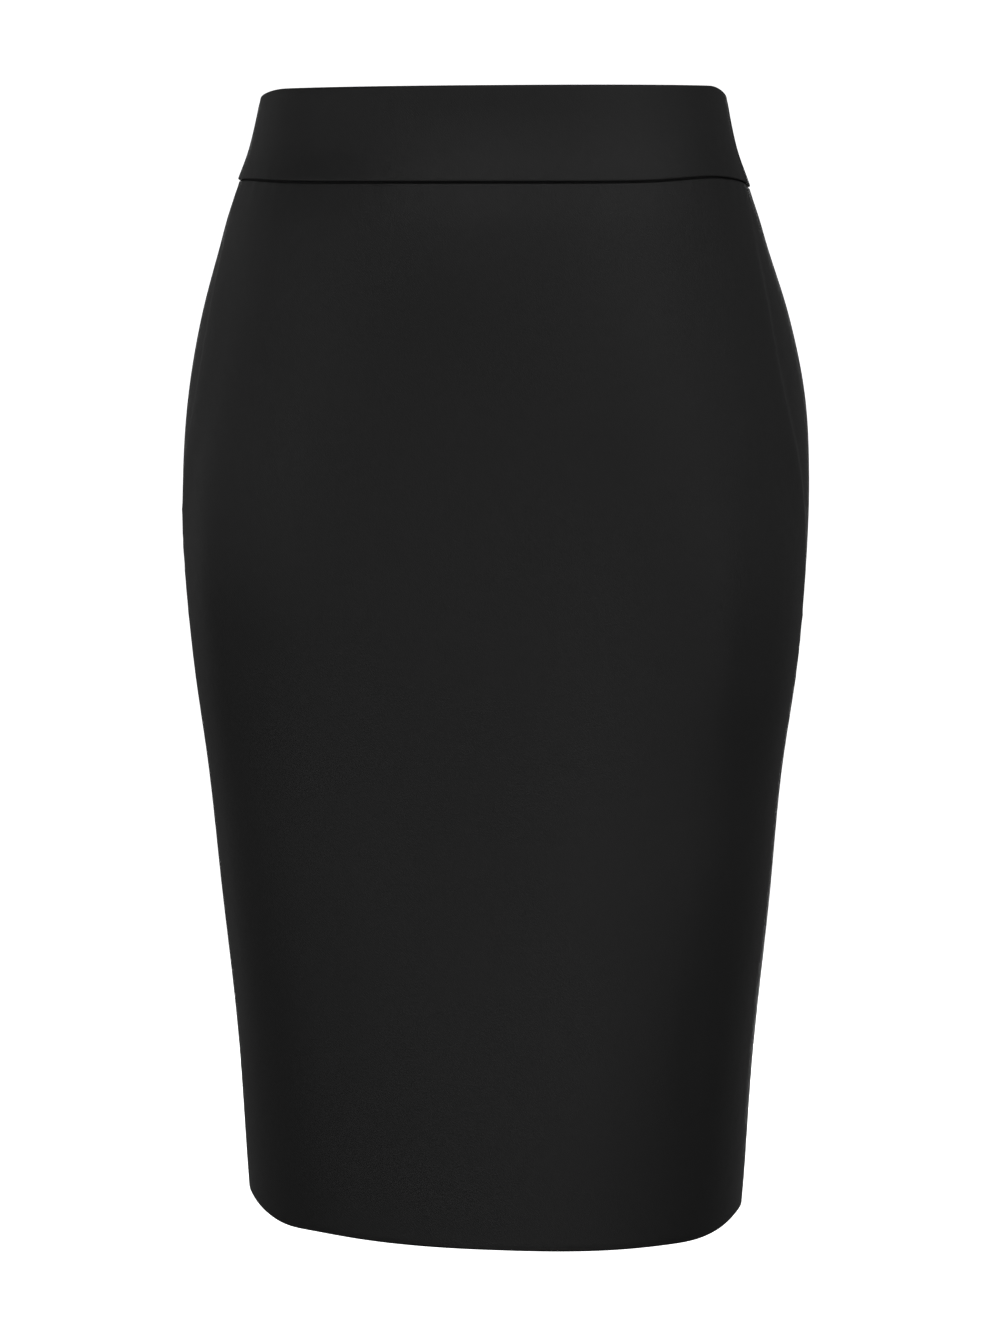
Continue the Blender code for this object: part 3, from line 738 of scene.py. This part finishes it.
def makeBackLeft(look, vent, finish):
    # Its centre edge lies over the vent, where the cloth is folded in under it.
    edge = roundEdge(look["seamRoll"])
    edgeColumns, between = vent["facingColumns"]
    near, nearest = vent["nearColumns"]
    facing = vent["lap"] - np.linspace(0, vent["facingEdge"], edgeColumns)
    ventEdge = np.concatenate([facing, np.linspace(facing[-1], near, between)[1:], [nearest], edge[::-1]])
    across = spaced(sideEdge(look), look["columns"]["left"], ventEdge)
    grid = clothGrid(backLeftEdges, panelTop, hemLine, across, panelRows(look))
    lie, roll, wall, hemRoll = panelDepths(grid, look, "end")
    slanted = vent["top"] - vent["slant"] * grid["fromEnd"]
    folded = softStep((vent["lap"] - grid["fromEnd"]) / vent["facingEdge"])
    folded = folded * softStep((slanted - grid["height"]) / vent["facingFade"])
    wall = np.maximum(wall, look["wall"] + (vent["wall"] - look["wall"]) * folded)
    foldRoll = rollIn(grid["fromEnd"], look["seamRoll"]) * folded
    inward = lie + wall - np.maximum(hemRoll, foldRoll)
    names = ("skirt_back_left", "back_panel_left")
    return clothPiece(*names, grid, lie + roll, inward, finish, "skirt_cloth"), grid


def makeBackRight(look, vent, finish):
    # Below the vent's top the cloth sinks before the centre back and runs on under the left half.
    edge = roundEdge(look["seamRoll"])
    lap = np.linspace(vent["nearColumns"][0], vent["lap"], vent["lapColumns"])[:-1]
    lap = np.concatenate([edge, lap]) - vent["lap"]
    sink = np.linspace(edge[-1], vent["foldFrom"] + vent["foldPast"], vent["foldColumns"])[1:]
    across = spaced(np.concatenate([lap, edge, sink]), look["columns"]["right"], sideEdge(look)[::-1])
    grid = clothGrid(backRightEdges, panelTop, hemLine, across, panelRows(look))
    lie, roll, wall, hemRoll = panelDepths(grid, look, "start")
    start = grid["fromStart"]
    below = softStep((vent["top"] - grid["height"]) / vent["ramp"])
    atCentre = rollIn(start, look["seamRoll"]) * (1 - below)
    atLap = rollIn(start + vent["lap"], look["seamRoll"])
    atRest = np.where(start < vent["sideFrom"], hemRoll, roll)
    roll = np.maximum.reduce([atRest, atCentre, atLap, rollIn(grid["fromTop"], look["topRoll"])])
    lie = lie + vent["depth"] * below * softStep((vent["foldFrom"] - start) / vent["foldWidth"])
    inLap = np.arange(start.shape[1] - 1) < len(lap)
    cells = ~inLap[None, :] | (grid["level"][:-1] < vent["top"] - vent["ramp"] / 2)[:, None]
    names = ("skirt_back_right", "back_panel_right")
    return clothPiece(*names, grid, lie + roll, lie + wall - hemRoll, finish, "skirt_cloth", cells), grid


# The waistband: cloth doubled over at the top, and its inner layer's edge felled down inside.
bandLook = {
    "wall": 2.6 * mm,
    "waistGap": 0.1 * mm,
    "seamRoll": 1.0 * mm,
    "topRoll": 1.2 * mm,
    "bottomRoll": 1.15 * mm,
    "edgeColumns": (2 * mm, 3.2 * mm, 5 * mm),
    "edgeRows": (1.9 * mm, 3 * mm),
    "rows": 22,
    "swell": (0.35 * mm, 3.0 * mm),
    "swellFrom": 8 * mm,
    "pucker": (0.07 * mm, 5 * mm),
    "sliderHeight": 13 * mm,
    "sliderGap": 1.7 * mm,
    "sliderReach": 6.5 * mm,
    "sliderFade": 0.35,
    "openFade": 14 * mm,
    "backDepth": 90 * mm,
    "flangeTop": 3 * mm,
    "flangeDrop": 8 * mm,
    "flangeWall": 0.5 * mm,
    "flangeDepth": 2.4 * mm,
    "flangeRoll": (0.2 * mm, 0.25 * mm),  # at its ends, and at its edge
    "flangeRows": 5,
    "flangeWave": (0.12 * mm, 410, 5 * mm),  # height, radians to a metre, and how far up it fades
    "parts": (
        # name, solid, edges, columns, columns of the inner layer's edge, and the end at the opening
        ("front", "waistband_front", frontEdges, 190, 120, None),
        ("left", "waistband_back_left", backLeftEdges, 90, 60, "end"),
        ("right", "waistband_back_right", backRightEdges, 90, 60, "start"),
    ),
}
bandBottom = raised(waistSeam, bandLook["waistGap"])
flangeTop = raised(waistSeam, bandLook["flangeTop"])
flangeEdge = raised(waistSeam, -bandLook["flangeDrop"])


def sliderRoom(level, look):
    # How far the band's halves stand back from the centre to let the slider's neck through.
    near = softStep((1 - np.abs(level - look["sliderHeight"]) / look["sliderReach"]) / look["sliderFade"])
    return look["sliderGap"] / 2 * near


def makeBand(part, look, finish):
    # A part of the band, rounded at its four edges outside and at the top and bottom inside, with a swell
    # and puckers beside its seams. At the opening its end stands back a little round the slider.
    name, node, edges, columns, _, openAt = part
    edge = np.concatenate([roundEdge(look["seamRoll"]), look["edgeColumns"]])
    first = np.concatenate([roundEdge(look["topRoll"]), look["edgeRows"]])
    last = np.concatenate([look["edgeRows"][::-1], roundEdge(look["bottomRoll"])[::-1]])
    down = spaced(first, look["rows"], last)
    grid = clothGrid(edges, bandTop, bandBottom, evenly(edge, columns), down)
    start = grid["fromStart"]
    end = grid["fromEnd"]
    roll = edgeRolls(grid, look["seamRoll"], look["topRoll"], look["bottomRoll"])
    inside = edgeRolls(grid, 0.0, look["topRoll"], look["bottomRoll"])
    ridge = swell(start, *look["swell"]) + swell(end, *look["swell"])
    lie = -ridge * softStep(grid["fromTop"] / look["swellFrom"]) - pucker(start, grid["fromBottom"], look)
    if openAt is not None:
        room = sliderRoom(grid["level"], look)[:, None]
        near = softStep(1 - (start if openAt == "start" else end) / look["openFade"])
        turn = room * near / look["backDepth"]
        grid["angle"] = grid["angle"] + (turn if openAt == "start" else -turn)
    inward = lie + look["wall"] - inside
    return clothPiece("band_" + name, node, grid, lie + roll, inward, finish, "waistband_cloth"), grid


def makeFlange(part, look, finish):
    # The edge of the band's inner layer, which covers the waist seam on the inside. It waves a little, as a
    # sine along it that fades upwards.
    name, _, edges, _, columns, _ = part
    endRoll, edgeRoll = look["flangeRoll"]
    edge = roundEdge(endRoll, 0, 3)
    down = spaced(edge, look["flangeRows"], roundEdge(edgeRoll, 0, 4)[::-1])
    grid = clothGrid(edges, flangeTop, flangeEdge, evenly(edge, columns), down)
    rise, turn, fade = look["flangeWave"]
    wave = rise * np.sin(grid["fromStart"] * turn)
    lie = look["flangeDepth"] + wave * softStep(1 - grid["fromBottom"] / fade)
    turned = rollIn(grid["fromBottom"], edgeRoll)
    inward = lie + look["flangeWall"] - turned
    return clothPiece("band_edge_" + name, None, grid, lie + turned, inward, finish, "waistband_cloth")


# Seam allowances pressed open inside, with their edges overlocked.
allowanceLook = {
    "half": 13 * mm,
    "wall": 0.75 * mm,
    "thin": 0.3,  # the share of its wall that is left at the seam
    "groove": 0.9 * mm,
    "depth": 1.3 * mm,
    "under": 9 * mm,  # its top lies this far under the waist seam
    "overlap": 1.5 * mm,  # and its foot this far under the hem's turned-up edge
    "roll": 0.25 * mm,
    "columns": 17,
    "rows": 150,
    "wave": (0.1 * mm, 300, 90),  # height, and radians to a metre up and across
}
underWaist = raised(waistSeam, -allowanceLook["under"])
hemTop = raised(hemLine, panelLook["hemDepth"])
aboveHem = raised(hemTop, -allowanceLook["overlap"])
aboveVent = levelLine(ventLook["top"])
seamLines = (("left", leftSeam, aboveHem), ("right", rightSeam, aboveHem), ("back", backSeam, aboveVent))


def makeAllowance(name, seam, bottom, look, finish):
    # Both allowances of a seam as one strip, thin along its middle where they part, and waving towards its
    # edges as a sine of its height and width.
    across = evenly(roundEdge(look["roll"], -look["half"], 4), look["columns"])
    down = evenly(roundEdge(look["roll"], 0, 3), look["rows"])
    grid = clothGrid(edgesOf(seam, seam), underWaist, bottom, across, down)
    aside = np.abs(grid["fromStart"])
    swing, upTurn, acrossTurn = look["wave"]
    wave = swing * np.sin(grid["height"] * upTurn + grid["fromStart"] * acrossTurn)
    lie = look["depth"] + underBand(grid["height"]) + wave * softStep(aside / look["half"])
    side = rollIn(look["half"] - aside, look["roll"])
    part = 1 - swell(aside, 1, look["groove"])
    wall = look["wall"] * (look["thin"] + (1 - look["thin"]) * part)
    return clothPiece("seam_" + name, None, grid, lie + side, lie + wall - side, finish, "skirt_cloth")


def tubes(name, paths, outward, radius, sides, finish):
    # A tube along each path of an array of paths: a ring about each point, across the path's direction,
    # whose points turn from the outward direction to the one across both. Its two ends are closed.
    count, length = paths.shape[:2]
    run = np.gradient(paths, axis=1)
    run = run / np.linalg.norm(run, axis=-1, keepdims=True)
    side = np.cross(run, outward)
    side = side / np.linalg.norm(side, axis=-1, keepdims=True)
    up = np.cross(side, run)
    turn = np.linspace(0, 2 * np.pi, sides, endpoint=False)[:, None]
    ring = up[:, :, None] * np.cos(turn) + side[:, :, None] * np.sin(turn)
    points = paths[:, :, None] + ring * radius
    number = np.arange(count * length * sides).reshape(count, length, sides)
    near = np.roll(number, -1, axis=2)
    quads = np.stack([number[:, :-1], near[:, :-1], near[:, 1:], number[:, 1:]], -1).reshape(-1, 4)
    ends = np.concatenate([number[:, 0, ::-1], number[:, -1]])
    return makePiece(name, points.reshape(-1, 3), [quads, ends], finish)


def outwardAt(angle, height):
    # The form's level outward direction.
    way = clothPoint(angle, height, -1 * mm) - clothPoint(angle, height)
    return way / np.linalg.norm(way, axis=-1, keepdims=True)


def alongLine(edges, line, samples=600):
    # A line round the form at equal lengths. place() turns a share of it and a distance above it into an
    # angle and a height.
    start, end = edges(np.array([line(np.pi)]))
    angles = np.linspace(start[0], end[0], samples)
    points = clothPoint(angles, line(angles))
    walked = np.concatenate([[0], np.cumsum(np.linalg.norm(np.diff(points, axis=0), axis=1))])

    def place(share, away):
        angle = np.interp(share * walked[-1], walked, angles)
        return angle, line(angle) + away

    return place, walked[-1]


def downLine(seam, top, bottom, samples=300, reach=20 * mm):
    # A line down a seam. place() turns a share of it and a distance beside it into an angle and a height.
    shares = np.linspace(0, 1, samples)
    across = (np.array([-reach, reach]), np.zeros(2))
    grid = clothGrid(edgesOf(seam, seam), top, bottom, across, (0 * shares, shares))

    def place(share, away):
        near, far = [np.interp(share, shares, grid["angle"][:, side]) for side in (0, 1)]
        return near + (far - near) * (away / reach + 1) / 2, np.interp(share, shares, grid["height"][:, 0])

    return place, grid["level"][0] - grid["level"][-1]


def slantLine(line, first, last):
    # The same line, moved beside itself from one distance to another.
    place, whole = line

    def slanted(share, away):
        return place(share, first + (last - first) * share + away)

    return slanted, np.hypot(whole, last - first)


def stitchLook(pitch, length, lean, arch, away, sides):
    # A kind of stitch, in millimetres: its pitch and length, how far it leans across its line and bows out,
    # and how far beside the line it lies. Its thread has that number of sides.
    sizes = {"pitch": pitch, "length": length, "lean": lean, "arch": arch, "away": away}
    return {**{name: size * mm for name, size in sizes.items()}, "sides": sides}


# Sewing. A stitch dips into the cloth by the sink at both ends.
sewing = {
    "thread": 0.16 * mm,
    "sink": 0.12 * mm,
    "points": 7,
    "overlock": {"pitch": 2.6 * mm, "width": 4.2 * mm, "lift": 0.12 * mm, "margin": 0.1 * mm, "sides": 4},
    # pitch, length, lean, arch, away, sides
    "blind": stitchLook(8, 3.2, 1.8, 0.3, 0.2, 5),
    "fell": stitchLook(6.5, 1.6, 1.6, 0.3, 0.1, 5),
    "tape": stitchLook(3.0, 2.2, 0.0, 0.25, 0.0, 5),
    "top": stitchLook(3.2, 2.5, 0.0, -0.25, 0.0, 6),
    "tapeAway": (3.4 * mm, 10.6 * mm),
    # The row at the vent: where it begins, how far before the lap's edge it ends, and how far under the top.
    "topFrom": -0.9 * mm,
    "topBeforeLap": 1.5 * mm,
    "topUnderVent": 1 * mm,
}
ventStitchTop = levelLine(ventLook["top"] - sewing["topUnderVent"])
ventStitchBottom = raised(ventStitchTop, -ventLook["slant"] * ventLook["lap"])


def panelInside(angle, height):
    # How deep the panels' inner surface lies.
    return underBand(height) + panelWall(height - hemLine(angle), panelLook)


def flangeInside(angle, height):
    return 0 * height + bandLook["flangeDepth"] + bandLook["flangeWall"]


def onSurface(angle, height):
    return underBand(height)


def insideOf(look):
    # The same of a strip, which lies at its depth under the cloth's surface.
    def depthAt(angle, height):
        return underBand(height) + look["depth"] + look["wall"]

    return depthAt


def overlock(name, lines, swing, depthAt, look, finish):
    # Overlocking on each line: the thread swings between two distances from it, as a triangle wave.
    perSwing = 4
    steps = int(min(whole for place, whole in lines) / look["pitch"]) * perSwing
    share = np.linspace(0, 1, steps + 1)
    wave = np.abs((np.arange(steps + 1) / perSwing) % 1 * 2 - 1)
    ways = [near + (far - near) * wave for near, far in swing]
    spots = [place(share, away) for (place, whole), away in zip(lines, ways)]
    angle, height = [np.stack(parts) for parts in zip(*spots)]
    path = clothPoint(angle, height, depthAt(angle, height) + look["lift"])
    outward = outwardAt(angle, height)
    return tubes(name, path, outward, sewing["thread"], look["sides"], finish)


def stitches(name, line, depthAt, look, finish):
    # A row of stitches: each runs a length along the line while it leans across it, and bows by its arch, as
    # 1 less the square of its share from the middle.
    place, whole = line
    count = int(whole / look["pitch"])
    middle = (np.arange(count) + 0.5) / count
    reach = np.linspace(-0.5, 0.5, sewing["points"])
    share = middle[:, None] + reach * look["length"] / whole
    angle, height = place(share, look["away"] + look["lean"] * reach + 0 * share)
    sunk = np.sign(look["arch"]) * sewing["sink"]
    depth = depthAt(angle, height) - sunk + look["arch"] * (1 - (2 * reach) ** 2)
    path = clothPoint(angle, height, depth)
    return tubes(name, path, outwardAt(angle, height), sewing["thread"], look["sides"], finish)


def makeSewing(look, vent, finish):
    # Overlocked seams and hem, the hem's and the band's hand stitches, and the rows at the vent and the zip.
    lock = look["overlock"]
    half = allowanceLook["half"]
    swing = [(side * (half - lock["margin"]), side * (half - lock["width"])) for side in (-1, 1)]
    for name, seam, low in seamLines:
        line = downLine(seam, underWaist, low)
        overlock("overlock_" + name, [line, line], swing, insideOf(allowanceLook), lock, finish)
    swing = [(lock["margin"], -lock["width"])]
    for name, edges in (("front", frontEdges), ("back_left", backLeftEdges), ("back_right", backRightEdges)):
        line = alongLine(edges, hemTop)
        overlock("hem_overlock_" + name, [line], swing, panelInside, lock, finish)
        stitches("hem_stitches_" + name, line, panelInside, look["blind"], finish)
        line = alongLine(edges, flangeEdge)
        stitches("band_stitches_" + name, line, flangeInside, look["fell"], finish)
    slant = downLine(backSeam, ventStitchTop, ventStitchBottom)
    slant = slantLine(slant, look["topFrom"], look["topBeforeLap"] - vent["lap"])
    stitches("vent_stitches", slant, onSurface, look["top"], finish)
    line = downLine(backSeam, zipTop, zipBottom)
    for side, name in ((-1, "left"), (1, "right")):
        for row, away in enumerate(look["tapeAway"]):
            tape = {**look["tape"], "away": side * away}
            stitches(f"tape_stitches_{name}_{row}", line, insideOf(zipLook), tape, finish)


# The concealed zip: two woven tapes with a spiral coil on each, on the inside of the centre back.
zipLook = {
    "top": 24.5 * mm,
    "bottom": -185 * mm,
    "half": 12 * mm,
    "wall": 0.5 * mm,
    "depth": 2.35 * mm,
    "roll": 0.2 * mm,
    "columns": (1.2 * mm, 2.4 * mm, 5 * mm, 8 * mm, 11 * mm),
    "rows": 60,
    "wave": (0.12 * mm, 210),  # height, and radians to a metre
    "slot": 0.35 * mm,
    "part": 1.1 * mm,
    "fork": (8 * mm, 4 * mm),  # where the tapes begin to part, and over what height
    "coilTop": 2.5 * mm,
    "coilPitch": 1.3 * mm,
    "coilReach": (0.95 * mm, 0.62 * mm),
    "coilMiddle": (0.85 * mm, 1.15 * mm),
    "coilSides": 5,
    "wire": 0.22 * mm,
    "turnPoints": 10,
    # The stops: across, height, and half their width, depth and height.
    "bottomStop": (0.0, -181 * mm, (2.5 * mm, 1.0 * mm, 1.5 * mm)),
    "topStops": (1.75 * mm, 22.9 * mm, (0.85 * mm, 0.9 * mm, 1.1 * mm)),
    "stopDepth": 3.35 * mm,
    "stopRings": 13,
    "stopSides": 24,
    "stopPower": 0.45,
}
zipTop = levelLine(zipLook["top"])
zipBottom = levelLine(zipLook["bottom"])


def zipPart(height, look):
    # How far a tape stands from the centre: a little below the slider and more above it, where they part.
    low, fade = look["fork"]
    return look["slot"] + (look["part"] - look["slot"]) * softStep((height - low) / fade)


def makeTape(name, node, side, look, finish):
    # One tape, a thin wall that waves a little as a sine down it. side is 1 on the wearer's left, where the
    # angle falls, and -1 on their right.
    edge = roundEdge(look["roll"], 0, 3)
    reach = np.concatenate([edge, look["columns"], look["half"] - look["slot"] - edge[::-1]])
    places = np.sort(-side * reach)
    down = evenly(edge, look["rows"])
    grid = clothGrid(edgesOf(backSeam, backSeam), zipTop, zipBottom, (places, 0 * places), down)
    grid["angle"] = grid["angle"] - side * zipPart(grid["level"], look)[:, None] / bandLook["backDepth"]
    swing, turn = look["wave"]
    wave = swing * np.sin(grid["height"] * turn + side)
    wave = wave * softStep(np.abs(grid["fromStart"]) / look["half"])
    lie = look["depth"] + underBand(grid["height"]) + wave
    return clothPiece("tape_" + name, node, grid, lie, lie + look["wall"], finish, "zip_tape")


def makeCoil(name, side, look, finish):
    # A flattened helix down the tape's edge, half a turn apart from the other one so that their loops mesh.
    top = look["top"] - look["coilTop"]
    length = top - look["bottom"]
    turns = length / look["coilPitch"]
    share = np.linspace(0, 1, int(turns * look["turnPoints"]))
    turn = 2 * np.pi * turns * share * side + (np.pi if side > 0 else 0)
    height = top - length * share
    aside, deep = look["coilMiddle"]
    wide, thick = look["coilReach"]
    across = aside + zipPart(height, look) - look["slot"] + wide * np.cos(turn)
    depth = look["depth"] + deep + thick * np.sin(turn) + underBand(height)
    angle = np.pi - side * across / bandLook["backDepth"]
    path = clothPoint(angle, height, depth)[None]
    outward = outwardAt(angle, height)[None]
    return tubes(name, path, outward, look["wire"], look["coilSides"], finish)


def makeStop(name, across, height, half, look, finish):
    # A crimped metal stop: a ball whose sine and cosine are raised to a power under 1, so that it is boxy.
    rings = look["stopRings"]
    sides = look["stopSides"]
    turn = np.linspace(0, 2 * np.pi, sides, endpoint=False)
    rise = np.linspace(np.pi / 2, -np.pi / 2, rings + 2)[:, None]
    level = np.cos(rise)
    ball = np.stack([level * np.sin(turn), -level * np.cos(turn), np.sin(rise) + 0 * turn], axis=-1)
    ball = np.sign(ball) * np.abs(ball) ** look["stopPower"] * half
    angle = np.pi - across / bandLook["backDepth"]
    middle = clothPoint(angle, height, look["stopDepth"] + underBand(height))
    points = np.concatenate([ball[0, :1], ball[1:-1].reshape(-1, 3), ball[-1, :1]]) + middle
    return makePiece(name, points, ringFaces(rings, sides), finish)


# Lights, floor and camera. The camera stands a little to the right of the middle and looks slightly down.
studio = {
    "distance": 2.30,
    "azimuth": 1.5 * degree,
    "height": -24.5 * mm,
    "aside": 2.6 * mm,
    "pitch": 6.71 * degree,
    "lens": 111.67,
    "sensor": 36,
    "floor": -1.05,
    "radius": 5.0,
    "wallRadius": 1.6,
    "wallTop": 4.5,
    "rings": (9, 13),  # on the flat, and round the bend
    "sides": 72,
    "glow": grey(1.0),
    "paper": (grey(0.8), 3.0, 0.88, 0.05),  # colour, scale of its grain, roughness and its spread
    "world": 0.12,
    # The lamps' height, distance, height aimed at, width and length.
    "lamps": {
        "tall": (0.3, 3.0, -0.3, 0.7, 1.8),
        "high": (1.9, 2.6, -0.1, 0.9, 0.8),
        "low": (-0.9, 2.6, -0.3, 1.4, 0.5),
    },
    "lights": (
        # name, lamp, degrees round from the front, watts
        ("left rim", "tall", -125, 1.9),
        ("left side", "tall", -90, 1.0),
        ("left far", "tall", -72, 7.1),
        ("left", "tall", -44, 3.5),
        ("left near", "tall", -25, 2.1),
        ("right near", "tall", 25, 4.1),
        ("right", "tall", 44, 4.3),
        ("right far", "tall", 72, 6.0),
        ("right rim", "tall", 110, 1.8),
        ("key left", "high", -20, 9.6),
        ("key", "high", 10, 8.7),
        ("key right", "high", 60, 11.5),
        ("low left", "low", -45, 3.4),
        ("low", "low", 0, 6.9),
        ("low right", "low", 45, 1.9),
        ("back left", "tall", -170, 8.0),
        ("back right", "tall", 172, 8.0),
        ("back key", "high", 180, 16.0),
        ("back low", "low", 180, 9.0),
    ),
}


def makeCamera(look):
    # It stands at its distance along its azimuth, moved aside across it, and looks down by its pitch.
    camera = addObject("camera", bpy.data.cameras.new("camera"))
    turn = look["azimuth"]
    right = np.array([np.cos(turn), np.sin(turn)])
    ahead = np.array([-np.sin(turn), np.cos(turn)])
    camera.location = (*(right * look["aside"] - ahead * look["distance"]), look["height"])
    camera.rotation_euler = (np.pi / 2 - look["pitch"], 0, turn)
    camera.data.lens = look["lens"]
    camera.data.sensor_width = look["sensor"]
    bpy.context.scene.camera = camera


def makeLights(look):
    # Soft boxes on a circle round the skirt, and a faint grey world.
    for name, lamp, around, watts in look["lights"]:
        height, distance, aim, width, tall = look["lamps"][lamp]
        place = (distance * np.sin(around * degree), -distance * np.cos(around * degree), height)
        light = addObject(name, bpy.data.lights.new(name, "AREA"))
        light.data.shape = "RECTANGLE"
        light.data.size = width
        light.data.size_y = tall
        light.data.energy = watts
        light.visible_camera = False
        light.location = place
        light.rotation_euler = (Vector((0, 0, aim)) - Vector(place)).to_track_quat("-Z", "Y").to_euler()
    world = bpy.data.worlds.new("studio")
    world.use_nodes = True
    world.node_tree.nodes["Background"].inputs["Color"].default_value = grey(look["world"])
    bpy.context.scene.world = world


def paperFinish(name, look):
    # Matt white paper with a faint grain, which glows by itself as a lit cyclorama does.
    glow = {"Emission Color": look["glow"], "Emission Strength": 1.0}
    paper = Finish(name, {"Specular IOR Level": 0.0, **glow})
    colour, scale, matt, spread = look["paper"]
    grain = paper.noise(paper.object(), scale)
    return paper.finishWith(colour, grain * spread + matt)


def makeStage(look):
    # A round pale floor that curves up into a wall all round: a profile turned about its middle point.
    flatRings, bendRings = look["rings"]
    flat = look["radius"] - look["wallRadius"]
    bend = np.linspace(0, np.pi / 2, bendRings)[1:]
    curved = flat + look["wallRadius"] * np.sin(bend)
    radius = np.concatenate([np.linspace(0, flat, flatRings), curved, [look["radius"]]])
    rise = np.concatenate([np.zeros(flatRings), look["wallRadius"] * (1 - np.cos(bend)), [look["wallTop"]]])
    turn = np.linspace(0, 2 * np.pi, look["sides"], endpoint=False)
    rings = np.stack([
        radius[1:, None] * np.sin(turn),
        radius[1:, None] * -np.cos(turn),
        look["floor"] + rise[1:, None] + 0 * turn,
    ], axis=-1)
    points = np.concatenate([[(0, 0, look["floor"])], rings.reshape(-1, 3)])
    faces = ringFaces(rings.shape[0], look["sides"])[:2]
    stage = makeMesh("floor", points, faces, paperFinish("pale_paper", look))
    # The lamps alone light the skirt: the white paper is seen, and throws no light back on it.
    stage.visible_diffuse = False
    stage.visible_glossy = False


def underlap(vent):
    # The flat area of the strip that runs on under the left half, from the vent's top to the hem.
    return vent["lap"] * float(vent["top"] - vent["ramp"] / 2 - hemLine(np.pi))


def sheetOf(made, more=0.0):
    # Works out a piece's cut from its grid, and keeps nothing of it. more, the area of a strip that lies
    # past its edges, is not used.
    piece, grid = made
    cut = flatCut(grid)


def makeZip(look, tapeCloth, metal):
    # Both tapes and coils, and the three stops. The left tape stands in for the solid of both.
    sides = (("left", "zip_tape", 1), ("right", None, -1))
    tapes = [makeTape(*side, look, tapeCloth) for side in sides]
    for name, _, side in sides:
        makeCoil("coil_" + name, side, look, tapeCloth)
    across, height, half = look["topStops"]
    for name, _, side in sides:
        makeStop("zip_stop_" + name, side * across, height, half, look, metal)
    makeStop("zip_stop_bottom", *look["bottomStop"], look, metal)
    return tapes


def makeSkirt():
    cloth = clothFinish("black_double_knit", clothLook)
    # The band's knit is the panels' knit with its tones raised by a share. This is painted light, because
    # the band is lit more than the panels.
    bandCloth = clothFinish("black_waistband_knit_painted_lighter", clothLook, 1.08)
    tapeCloth = tapeFinish("woven_black_tape", tapeLook)
    thread = threadFinish("black_thread", threadLook)
    metal = metalFinish("black_enamel", metalLook)
    print("finishes made")
    front = makeFront(panelLook, cloth)
    left = makeBackLeft(panelLook, ventLook, cloth)
    right = makeBackRight(panelLook, ventLook, cloth)
    print("panels made")
    bands = [makeBand(part, bandLook, bandCloth) for part in bandLook["parts"]]
    flanges = [makeFlange(part, bandLook, bandCloth) for part in bandLook["parts"]]
    print("waistband made")
    seams = [makeAllowance(*line, allowanceLook, cloth) for line in seamLines]
    print("seams made")
    tapes = makeZip(zipLook, tapeCloth, metal)
    print("zip made")
    makeSewing(sewing, ventLook, thread)
    print("sewing made")
    for made, flange in zip(bands, flanges):
        sheetOf(made)
    sheetOf(front)
    sheetOf(left)
    sheetOf(right, underlap(ventLook))
    for node in ("zip_slider", "zip_pull"):
        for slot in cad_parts[node].material_slots:
            slot.material = metal


makeSkirt()
makeStage(studio)
makeLights(studio)
makeCamera(studio)
bpy.context.scene.view_settings.view_transform = "Standard"
print("floor, lights and camera made")
